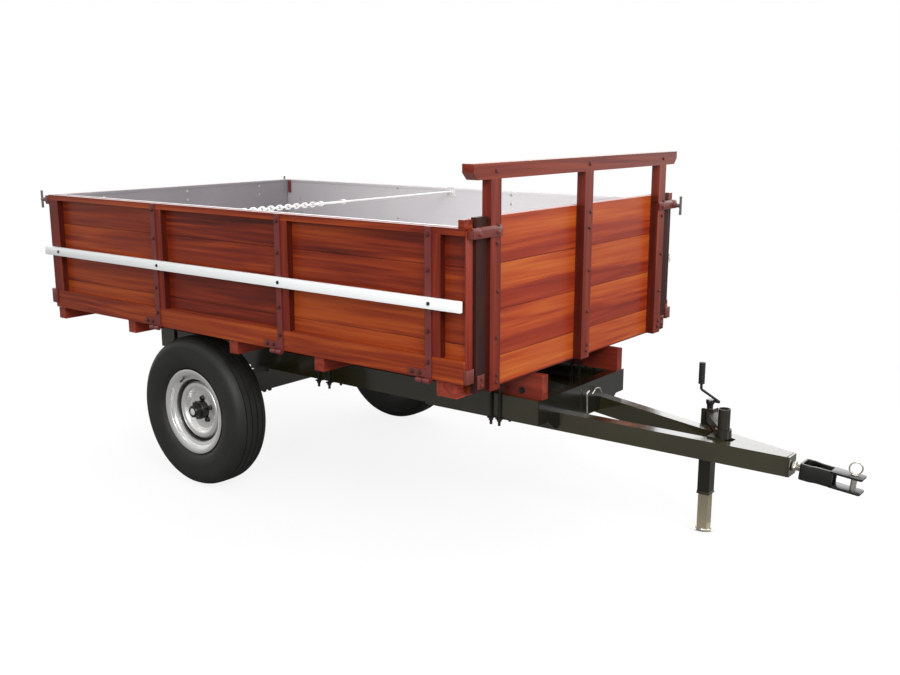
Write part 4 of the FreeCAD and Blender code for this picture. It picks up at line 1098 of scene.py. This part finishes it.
@dataclass
class SideGate(Fittings):
    """The fittings of one side gate: bolts, the white rail, the sheet's folded lip and end blocks."""

    face: float = 0.9445
    strap: float = 0.006
    rub_rail: float = 0.020
    straps: tuple[float, ...] = (0.951, 1.890, 2.799)
    strap_heights: tuple[float, ...] = (0.940, 1.075, 1.336, 1.485)
    foot_bolts: tuple[float, ...] = (0.030, 0.072)
    foot_height: float = 0.888
    rail_bolts: tuple[float, ...] = (0.100, 1.010, 1.925, 2.835)
    rail_height: float = 1.1985
    lining_bolts: tuple[tuple[float, float], ...] = (
        (1.09, 1.503), (1.09, 1.445), (1.09, 1.308), (1.983, 1.499), (1.983, 1.445), (1.983, 1.300),
        (0.19, 1.395), (0.19, 1.296), (2.85, 1.45), (2.85, 1.30))

    def build(self) -> None:
        """Models the gate's fittings."""
        # The right gate's end strip takes the painted highlight, the left one the painted shade.
        end_highlight_or_shade_finish = "end_wood" if self.side is Side.RIGHT else "corner_wood"
        rows = (("strap_bolts_", self.strap_bolts(), "post_bolt_paint"),
                ("rub_bar_", self.rub_bar(), "white_paint", self.sided("rub_rail_")),
                ("rail_bolts_", self.rail_bolt_row(), "dark_bolt"),
                ("lining_bolts_", self.lining_bolt_row(), "zinc"),
                ("lining_lip_", self.lip(), "lining_sheet"),
                ("end_blocks_", self.end_blocks(), "bracket_paint"),
                ("end_strip_", self.end_strip(), end_highlight_or_shade_finish))
        self.dress_all(self.sided("gate_"), [(self.sided(name), *rest) for name, *rest in rows])

    def end_strip(self) -> Thing:
        """Models the upright batten that closes the gate's front end between its rails.

        Returns:
            The batten and its cover.
        """
        front = self.rear + self.length
        return self.join(
            self.block((0.008, 0.019, 0.560), (front - 0.001, self.out * 0.9200, 1.227)),
            self.block((0.003, 0.026, 0.620), (front + 0.0015, self.out * 0.8975, 1.207), 0.0008))

    def strap_bolts(self) -> Thing:
        """Sets bolts up each strap and along its foot.

        Returns:
            The bolts.
        """
        y = self.out * (self.face + self.strap)
        facing = (0, self.out, 0)
        spots = []
        for number, start in enumerate(self.straps):
            x = self.rear + start
            spots += [Spot((x + 0.017, y, height), facing, 0.4 * number + height)
                      for height in self.strap_heights]
            spots += [Spot((x - back, y, self.foot_height), facing, back * 9) for back in self.foot_bolts]
        return self.copies(self.hexagon(0.0085, 0.006, 0.011), spots)

    def rub_bar(self) -> Thing:
        """Models the white rail with its rounded edges and its tapered rear end.

        Returns:
            The rail.
        """
        low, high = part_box(self.sided("rub_rail_"))
        middle = self.face + self.strap + self.rub_rail / 2
        bar = self.block((high.x - low.x, self.rub_rail, high.z - low.z),
                         ((low.x + high.x) / 2, self.out * middle, (low.z + high.z) / 2), 0.0025)
        edge = low.x + 0.004
        self.pull(bar, lambda spot: spot.x < edge and abs(spot.y) > middle, (0.010, 0, 0))
        return bar

    def rail_bolt_row(self) -> Thing:
        """Sets the bolts of the white rail.

        Returns:
            The bolts.
        """
        y = self.out * (self.face + self.strap + self.rub_rail)
        spots = [Spot((self.rear + start, y, self.rail_height), (0, self.out, 0), start)
                 for start in self.rail_bolts]
        return self.copies(self.hexagon(0.0092, 0.0042), spots)

    def lining_bolt_row(self) -> Thing:
        """Sets the round heads on the inner sheet.

        Returns:
            The heads.
        """
        spots = [Spot((self.rear + start, self.out * self.inner, height), (0, -self.out, 0))
                 for start, height in self.lining_bolts]
        return self.copies(self.dome(), spots)

    def lip(self) -> Thing:
        """Folds the sheet over the gate's top edge.

        Returns:
            The lip.
        """
        start = self.rear + 0.001
        outline = [(start, self.out * (self.inner + away), height) for away, height in self.lip_profile()]
        return self.plate(outline, (self.length - 0.031, 0, 0), 0.0006)

    def end_blocks(self) -> Thing:
        """Models the latch's plate, the stops lower down and the stop inside the rear corner.

        Returns:
            The blocks.
        """
        out, rear = self.out, self.rear
        y = out * (self.face - 0.014)
        rows = [((0.034, 0.036, 0.084), (rear - 0.017, y, 0.930), 0.003),
                ((0.040, 0.007, 0.084), (rear + 0.006, out * (self.face + 0.0035), 0.930), 0.002),
                ((0.026, 0.010, 0.088), (rear + 0.084, out * (self.inner - 0.005), 1.474), 0.002),
                ((0.018, 0.052, 0.062), (rear + self.length + 0.009, out * 0.9180, 0.898), 0.002)]
        parts = []
        if self.side is Side.RIGHT:
            rows.append(((0.034, 0.030, 0.050), (rear - 0.017, y, 1.489), 0.003))
            collar = y - out * 0.003
            parts.append(self.rod(0.017, (rear - 0.052, collar, 1.489), (rear - 0.034, collar, 1.489),
                                  16, 0.002))
        else:
            rows.append(((0.008, 0.034, 0.060), (rear - 0.004, y, 1.482), 0.002))
        return self.join(*parts, *(self.block(*row) for row in rows))


@dataclass
class Tailgate(Fittings):
    """The fittings of the tailgate: bolts and the sheet's folded lip."""

    half: float = 0.8785
    bolt_heights: tuple[float, ...] = (0.900, 0.940, 1.130, 1.336, 1.485)
    dome_places: tuple[float, ...] = (-0.615, 0.0, 0.615)
    dome_heights: tuple[float, ...] = (1.485, 1.430, 1.20)

    def build(self) -> None:
        """Models the tailgate's fittings."""
        low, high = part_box("tailgate_straps")
        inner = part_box("tailgate_lining")[1].x
        bolts = [Spot((self.rear - 0.006, y, z), (-1, 0, 0), z * 3)
                 for y in (low.y + 0.017, 0.0, high.y - 0.017) for z in self.bolt_heights]
        domes = [Spot((inner, y, z), FORWARD) for y in self.dome_places for z in self.dome_heights]
        outline = [(inner - away, 0.001 - self.half, height) for away, height in self.lip_profile()]
        self.dress_all("tailgate", (
            ("tailgate_bolts", self.copies(self.hexagon(0.0085, 0.006, 0.011), bolts), "strap_paint"),
            ("lining_lip_tail", self.plate(outline, (0, self.half * 2 - 0.002, 0), 0.0006), "tail_sheet"),
            ("tailgate_domes", self.copies(self.dome(), domes), "zinc")))


@dataclass
class Corner(Fittings):
    """What holds the headboard to one corner: the strap to the gate's end and a lower bracket."""

    front: float = 0.890
    strap_low: float = 1.476
    strap_high: float = 1.521
    strap_slope: float = 0.034
    strap_places: Point = (0.7225, 0.8755, 0.9260)
    strap_bolts: tuple[float, ...] = (0.757, 0.886)
    bolt_height: float = 1.493
    wall: float = 0.005
    foot: float = 0.842
    foot_bolts: tuple[float, ...] = (0.846, 0.878)

    def build(self) -> None:
        """Models the corner's fittings."""
        self.dress_all("chassis", (
            (self.sided("corner_strap_"), self.corner_strap(), "bracket_paint"),
            (self.sided("foot_bracket_"), self.lower_bracket(), "bracket_paint")))

    def corner_strap(self) -> Thing:
        """Models the angle from the outer post to the gate's end, its turned hook and its two bolts.

        Returns:
            The strap.
        """
        out, front, wall = self.out, self.front, self.wall
        low, high, slope = self.strap_low, self.strap_high, self.strap_slope
        start, end, tip = (out * place for place in self.strap_places)
        face = front + 0.009
        nose = [(face - wall, low), (face, low), (face, low + slope), (front + 0.001, high)]
        back = [(front - 0.040, high), (front - 0.040, high - wall), (front - 0.001, high - wall)]
        under = (face - wall, low + slope - 0.002)
        angle = [(x, start, z) for x, z in nose + back + [under]]
        reach = [(x, end, z) for x, z in nose + [(front - 0.006, high), under]]
        spots = [Spot((face, out * y, self.bolt_height), FORWARD, y * 7) for y in self.strap_bolts]
        return self.join(
            self.plate(angle, (0, end - start, 0), 0.0008),
            self.plate(reach, (0, tip - end, 0), 0.0008),
            self.block((0.030, wall, slope), (front - 0.009, tip - out * wall / 2, low + slope / 2),
                       0.0012),
            self.copies(self.hexagon(0.009, 0.006, 0.0115), spots))

    def lower_bracket(self) -> Thing:
        """Models the small angle at the corner post's foot.

        Returns:
            The bracket.
        """
        y = self.out * self.foot
        spots = [Spot((self.front - 0.011, y, z), FORWARD, z) for z in self.foot_bolts]
        return self.join(
            self.block((0.006, 0.050, 0.062), (self.front - 0.014, y, 0.862), 0.002),
            self.copies(self.hexagon(0.008, 0.005, 0.0105), spots))


@dataclass
class Headboard(Fittings):
    """The bolts of the headboard."""

    front: float = 0.890
    posts: tuple[float, ...] = (-0.760, 0.0, 0.760)
    bolt_heights: tuple[float, ...] = (0.845, 0.875, 1.040, 1.240, 1.445, 1.520)
    bolt_aside: tuple[float, float] = (0.010, 0.016)
    beam_height: float = 1.745

    def build(self) -> None:
        """Models the bolts up each post, each to one side of the last."""
        spots = []
        for number, y in enumerate(self.posts):
            spots += [Spot((self.front, y + self.bolt_aside[step % 2], z), FORWARD, z * 5 + number)
                      for step, z in enumerate(self.bolt_heights)]
            spots.append(Spot((self.front, y, self.beam_height), FORWARD, y))
        bolts = self.copies(self.hexagon(0.0072, 0.004, 0.0095), spots)
        self.dress("headboard_bolts", bolts, "chassis", "post_bolt_paint")


@dataclass
class TieChain(Fittings):
    """The chain across the box: a rod from the left gate, a turnbuckle, links and a hook plate."""

    x: float = -0.610
    z: float = 1.500
    wire: float = 0.0046
    link: float = 0.046
    width: float = 0.030
    pitch: float = 0.0300
    near: float = -0.290
    far: float = -0.080
    screw: float = 0.0055

    def build(self) -> None:
        """Models the chain and its plates."""
        chain = self.join(self.links(), self.tensioner(), self.far_plate())
        chain = self.dress("tie_chain", chain, "gate_left", "bright_zinc", "box_chain")
        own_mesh(chain)
        self.dress("chain_hook", self.near_hook(), "gate_right", "zinc")

    def links(self) -> Thing:
        """Models one link and hangs the run of them, each turned from the last.

        Returns:
            The links.
        """
        model = self.ring(self.width / 2 - self.wire, self.wire)
        stretch = (self.link - self.width) / 2
        self.pull(model, lambda spot: spot.y > 0.0001, (0, stretch, 0))
        self.pull(model, lambda spot: spot.y < -0.0001, (0, -stretch, 0))
        spots = []
        y = self.near + 2 * self.wire - self.link / 2
        while y - self.link / 2 > -self.inner + 0.008:
            spots.append(Spot((self.x, y, self.z), FORWARD if len(spots) % 2 else UP))
            y -= self.pitch
        return self.copies(model, spots)

    def tensioner(self) -> Thing:
        """Models the turnbuckle's two side bars and eyes, and the long rod behind it.

        Returns:
            The turnbuckle and rod.
        """
        near, far, x, z = self.near, self.far, self.x, self.z
        parts = [self.block((0.006, far - near - 0.030, 0.010), (x + aside, (near + far) / 2, z), 0.002)
                 for aside in (-0.010, 0.010)]
        rows = ((0.014, near + 0.008, near + 0.028, 16, 0.002),
                (0.014, far - 0.028, far - 0.008, 16, 0.002),
                (self.screw, near + 0.004, near + 0.070, 12, 0.001),
                (self.screw, far - 0.070, self.inner - 0.004, 12, 0.001))
        parts += [self.rod(radius, (x, start, z), (x, end, z), sides, edge)
                  for radius, start, end, sides, edge in rows]
        eye = self.ring(0.009, 0.0035, centre=(x, near - 0.002, z), turn=(0, math.pi / 4, 0))
        return self.join(*parts, eye)

    def far_plate(self) -> Thing:
        """Models the plate that the rod goes to, with its nut.

        Returns:
            The plate.
        """
        x, y, z = self.x, self.inner, self.z
        return self.join(self.block((0.060, 0.005, 0.060), (x, y - 0.0025, z - 0.001), 0.0018),
                         self.rod(0.013, (x, y - 0.018, z), (x, y - 0.004, z), 6, 0.0015))

    def near_hook(self) -> Thing:
        """Models the small plate and hook on the right gate that the last link drops over.

        Returns:
            The hook.
        """
        x, y, z = self.x, -self.inner, self.z
        route = [(x, y + 0.003, z - 0.018), (x, y + 0.011, z - 0.018), (x, y + 0.011, z - 0.001)]
        return self.join(self.block((0.040, 0.004, 0.050), (x, y + 0.002, z - 0.012)),
                         self.pipe(route, 0.003, 0.004))


@dataclass
class Drawbar(Fittings):
    """The fittings of the drawbar: the nose's weld, the safety pin, the hook and the towing hitch.

    The hitch is modelled level, with X counted from its pivot, then drooped and moved there.
    """

    pivot: Point = (1.937, 0.0, 0.483)
    droop: float = 5.0
    start: float = 0.043
    front: float = 0.301
    pin_x: float = 0.261
    pin_radius: float = 0.0125
    gap_half: float = 0.027
    wall: float = 0.010
    half: float = 0.046
    nose: float = 0.036
    ring_radius: float = 0.0265
    ring_wire: float = 0.0034
    ring_turn: float = 22.0
    threads: int = 10

    def build(self) -> None:
        """Models the drawbar's fittings."""
        for name, thing, finish, node in (("clevis_dress", self.clevis(), "black_paint", "hitch_clevis"),
                                          ("pin_dress", self.pin(), "zinc", "hitch_pin"),
                                          ("shank_dress", self.shank(), "zinc", "hitch_shank")):
            thing.rotation_euler = Euler((0, math.radians(self.droop), 0))
            thing.location = self.pivot
            self.dress(name, thing, "chassis", finish, node)
        self.dress_all("chassis", (("safety_pin", self.safety_pin(), "zinc"),
                                   ("nose_weld", self.nose_weld(), "frame_paint")))

    def clevis(self) -> Thing:
        """Models the bent strap and its two ears.

        Returns:
            The clevis.
        """
        start, front, wall, half, nose = self.start, self.front, self.wall, self.half, self.nose
        side = [(0.0, half - 0.008), (0.008, half), (0.046, half), (0.056, half - 0.003),
                (0.068, nose + 0.002), (0.080, nose), (0.138, nose)]
        inner = [(0.138, nose - wall), (0.080, nose - wall), (0.066, nose - wall + 0.002),
                 (0.052, half - wall - 0.003), (0.044, half - wall), (0.016, half - wall),
                 (wall, half - wall - 0.005)]
        outline = [(x, -y) for x, y in side + inner] + inner[::-1] + side[::-1]
        strap = self.plate([(start + x, y, -nose) for x, y in outline], (0, 0, nose * 2), 0.0012)
        root, cut = start + 0.128, 0.006
        ear = [(root, -nose), (front - cut, -nose), (front, -nose + cut), (front, nose - cut),
               (front - cut, nose), (root, nose)]
        ears = [self.plate([(x, y, z) for x, y in ear], (0, 0, wall), 0.0012)
                for z in (self.gap_half, -self.gap_half - wall)]
        return self.join(strap, *ears)

    def pin(self) -> Thing:
        """Models the pin with its collar and the standing pull ring.

        Returns:
            The pin.
        """
        ear = self.gap_half + self.wall
        top = ear + 0.008
        radius = self.pin_radius
        profile = [(0.0, -top), (radius - 0.003, -top), (radius, -top + 0.003), (radius, ear + 0.0005),
                   (radius + 0.0045, ear + 0.0008), (radius + 0.0045, ear + 0.0055),
                   (radius - 0.002, ear + 0.0065), (radius - 0.003, top - 0.0005),
                   (radius - 0.005, top), (0.0, top)]
        return self.join(
            self.lathe(profile, (self.pin_x, 0, 0), 32, UP),
            self.ring(self.ring_radius, self.ring_wire, (48, 10),
                      (self.pin_x, 0, top - 0.004 + self.ring_radius),
                      (math.pi / 2, 0, math.radians(self.ring_turn))))

    def shank(self) -> Thing:
        """Models the threaded shank with its nut.

        Returns:
            The shank.
        """
        low = 0.002
        step = (self.start - low) / self.threads
        profile = [(0.0, low)]
        for number in range(self.threads):
            profile += [(radius, low + step * (number + share))
                        for radius, share in ((0.0142, 0.1), (0.0158, 0.5), (0.0142, 0.9))]
        thing = self.lathe(profile + [(0.0, self.start)], MIDDLE, 28, UP)
        thing.rotation_euler = Euler((0, math.pi / 2, 0))
        thing = self.merge(self.applied())
        return self.join(thing, self.rod(0.025, (0.003, 0, 0), (0.017, 0, 0), 6, 0.002))

    def safety_pin(self) -> Thing:
        """Models the upright pin in front of the cross channel, and the hook beside it.

        Returns:
            The pin and hook.
        """
        x = 0.905
        far = x + 0.004
        return self.join(
            self.pipe([(x, 0.012, 0.535), (x, 0.006, 0.636), (far, 0.020, 0.646)], 0.0042, 0.008),
            self.pipe([(x, 0.060, 0.620), (far, 0.082, 0.645), (far, 0.122, 0.640), (far, 0.145, 0.610)],
                      0.0036, 0.012))

    def nose_weld(self) -> Thing:
        """Models the weld round the nose plate.

        Returns:
            The weld.
        """
        low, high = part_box("drawbar_nose")
        corners = ((low.y, low.z), (high.y, low.z), (high.y, high.z), (low.y, high.z))
        return self.pipe([(low.x, y, z) for y, z in corners], 0.003, 0.004, closed=True)


@dataclass
class Jack(Fittings):
    """The jack: dished foot, bands round the tube, crank with a ribbed grip."""

    x: float = 1.450
    y: float = 0.225
    tube_top: float = 0.605
    tail: float = 0.048
    throw: float = 0.049
    low: float = 0.642
    bend: float = 0.691
    grip_low: float = 0.717
    grip_length: float = 0.105
    ribs: int = 10

    def build(self) -> None:
        """Models the jack's pieces."""
        self.dress("foot_dress", self.foot(), "jack_leg", "zinc", "jack_foot")
        self.dress_all("chassis", (("crank_dress", self.crank(), "black_paint", "jack_crank"),
                                   ("crank_grip", self.grip(), "grip_rubber"),
                                   ("jack_bands", self.bands(), "frame_paint")))

    def foot(self) -> Thing:
        """Spins the dished foot and its socket.

        Returns:
            The foot.
        """
        profile = points(0, 0, 52, 0, 58, 1.2, 66, 6.5, 68, 7.8, 66.8, 8, 56, 4.2, 50, 3.4, 41, 3.6,
                         39, 8, 0, 8)
        return self.lathe(profile, (self.x, self.y, 0), 64, UP)

    def crank(self) -> Thing:
        """Models the boss on the tube and the bent bar that rises from it to the grip.

        Returns:
            The crank.
        """
        x, y, end = self.x, self.y, self.x - self.throw
        profile = points(0, 0, 15, 0, 15, 18, 19.2, 22.5, 20, 26, 20, 40, 18, 44, 0, 44)
        route = [(x, y, self.low), (x + self.tail, y, self.low), (end, y, self.bend),
                 (end, y, self.grip_low + 0.010)]
        return self.join(self.lathe(profile, (x, y, self.tube_top), 32, UP),
                         self.pipe(route, 0.0065, 0.008))

    def grip(self) -> Thing:
        """Spins the ribbed grip.

        Returns:
            The grip.
        """
        step = self.grip_length / self.ribs
        profile = points(0, 0, 10, 0)
        for number in range(self.ribs):
            profile += [(radius, step * (number + share)) for radius, share in
                        ((0.0140, 0.08), (0.0155, 0.3), (0.0155, 0.7), (0.0134, 0.95))]
        centre = (self.x - self.throw, self.y, self.grip_low)
        return self.lathe(profile + [(0.0, self.grip_length)], centre, 24, UP)

    def bands(self) -> Thing:
        """Models the band round the tube's mouth and the lid's weld at its top.

        Returns:
            The bands.
        """
        low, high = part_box("jack_tube")
        x, y = (low.x + high.x) / 2, (low.y + high.y) / 2
        lid, mouth = high.x - low.x - 0.006, high.x - low.x + 0.005
        return self.join(self.block((lid, lid, 0.003), (x, y, high.z + 0.0012), 0.0008),
                         self.block((mouth, mouth, 0.014), (x, y, low.z + 0.007), 0.002))


@dataclass
class Underframe(Fittings):
    """The fittings of the chassis: U-bolt nuts, axle bolts and bearer bolts."""

    shares: tuple[float, ...] = (0.13, 0.54, 0.566, 0.922, 0.938)
    u_bolts: tuple[float, ...] = (0.412, 0.323)
    plate_bottom: float = 0.559
    axle_bolts: tuple[float, ...] = (0.360, 0.400)
    rail_bolts: tuple[float, ...] = (0.62, 1.75, 2.92)

    def build(self) -> None:
        """Models the chassis fittings."""
        sides = (-1, 1)
        under = [Spot((self.rear + self.length * share, side * y, self.plate_bottom), DOWN, share * 9 + y)
                 for side in sides for share in self.shares for y in self.u_bolts]
        low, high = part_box("axle_beam")
        axle = [Spot((x, side * y, low.z), DOWN, x) for side in sides for y in self.axle_bolts
                for x in (low.x + 0.018, high.x - 0.018)]
        rail = [Spot((self.rear + start, side * 0.380, 0.712), (0, side, 0), start)
                for side in sides for start in self.rail_bolts]
        for name, size, spots in (("u_bolt_nuts", (0.012, 0.010, 0.014), under),
                                  ("axle_nuts", (0.013, 0.011, 0.015), axle),
                                  ("timber_rail_bolts", (0.012, 0.009, 0.016), rail)):
            nuts = self.copies(self.hexagon(*size), spots)
            self.dress(name, nuts, "chassis", "dark_bolt")


@dataclass
class Studio:
    """Floor, light and camera."""

    eye: Point = (3.377, -4.293, 1.973)
    yaw: float = 127.688
    pitch: float = -12.157
    focal: float = 41.472
    floor_radius: float = 16.0
    horizon: float = 0.30
    zenith: float = 0.55
    backdrop: float = 2.00
    backdrop_way: Point = (-0.61, 0.79, 0.0)

    def build(self) -> None:
        """Sets up everything that isn't the trailer."""
        self.floor()
        self.sky()
        for row in (("key", (6.5, -4.5, 6.0), (0.0, 0.0, 0.8), 2.5, 340.0),
                    ("front", (7.5, 0.5, 2.6), (0.0, 0.0, 0.9), 2.5, 130.0),
                    ("side", (2.6, -7.2, 3.6), (0.2, 0.0, 0.8), 3.0, 190.0)):
            self.lamp(*row)
        self.camera()

    def floor(self) -> None:
        """Lays the pale floor, which fades into the white backdrop."""
        Workbench.alone()
        bpy.ops.mesh.primitive_circle_add(vertices=96, radius=self.floor_radius, fill_type="NGON",
                                          location=(0, 0, -0.0008))
        floor = Workbench.applied()
        floor.name = "floor"
        recipe = Recipe(bpy.data.materials.new("floor_white"))
        x, y, z = recipe.axes()
        seen = recipe.node("LightPath", {}, "Is Camera Ray")
        pale = recipe.mix(recipe.noise((x, y, z), 0.8, 2.0), "#f7f7f7", "#fbfbfb")
        shader = recipe.surface(recipe.mix(seen, "#7c7c7c", pale), 0.9, Specular_IOR_Level=0.1)
        glow = recipe.node("Emission", {"Color": tint("#ffffff"), "Strength": 1.0})
        share = ((x * x + y * y) ** 0.5).fade(2.8, 4.6, 0.86, 1.0) * seen
        recipe.show(recipe.node("MixShader", {0: share, 1: shader, 2: glow}))
        floor.data.materials.append(recipe.owner)

    def sky(self) -> None:
        """Lights from all round: white to the camera, else brightest above and at the backdrop."""
        world = bpy.data.worlds.new("studio")
        bpy.context.scene.world = world
        recipe = Recipe(world)
        way = recipe.node("TexCoord", {}, "Generated")
        power: Socket | float = self.horizon
        for facing, most in ((UP, self.zenith), (self.backdrop_way, self.backdrop)):
            dot = recipe.node("VectorMath", {0: way, 1: facing}, "Value", operation="DOT_PRODUCT")
            power = dot.at_least(0.0) * most + power
        soft, white = (recipe.node("Background", {"Color": tint("#ffffff"), "Strength": strength})
                       for strength in (power, 1.0))
        seen = recipe.node("LightPath", {}, "Is Camera Ray")
        recipe.show(recipe.node("MixShader", {0: seen, 1: soft, 2: white}))

    def lamp(self, name: str, place: Point, aim: Point, size: float, power: float) -> None:
        """Hangs a soft lamp.

        Args:
            name: Its name.
            place: Where it hangs.
            aim: The point that it faces.
            size: Its side.
            power: Its watts.
        """
        data = bpy.data.lights.new(name, "AREA")
        data.shape = "SQUARE"
        data.size = size
        data.energy = power
        self.stand(name, data, place, Vector(aim) - Vector(place))

    @staticmethod
    def stand(name: str, data: bpy.types.ID, place: Point, way: Vector) -> Thing:
        """Places a lamp or a camera that looks one way.

        Args:
            name: Its name.
            data: What it is.
            place: Where it stands.
            way: The way that it looks.

        Returns:
            The object.
        """
        thing = bpy.data.objects.new(name, data)
        bpy.context.scene.collection.objects.link(thing)
        thing.location = place
        thing.rotation_euler = way.to_track_quat("-Z", "Y").to_euler()
        return thing

    def camera(self) -> None:
        """Places the camera where the photograph was taken from."""
        data = bpy.data.cameras.new("camera")
        data.sensor_fit = "HORIZONTAL"
        data.sensor_width = 36.0
        data.lens = self.focal
        data.clip_end = 200.0
        yaw, pitch = math.radians(self.yaw), math.radians(self.pitch)
        way = Vector((math.cos(pitch) * math.cos(yaw), math.cos(pitch) * math.sin(yaw), math.sin(pitch)))
        bpy.context.scene.camera = self.stand("camera", data, self.eye, way)
        bpy.context.scene.view_settings.view_transform = "Standard"


def main() -> None:
    """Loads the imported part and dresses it."""
    logging.basicConfig(level=logging.INFO, format="%(message)s")
    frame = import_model()
    Studio().build()
    shop = Paintshop()
    shop.mix_all()
    shop.coat_nodes(frame["nodes"])
    for side in Side:
        Wheel(shop, side).build()
        SideGate(shop, side).build()
    Tailgate(shop).build()
    Headboard(shop).build()
    for side in Side:
        Corner(shop, side).build()
    for assembly in (TieChain, Drawbar, Jack, Underframe):
        assembly(shop).build()


if __name__ == "__main__":
    main()
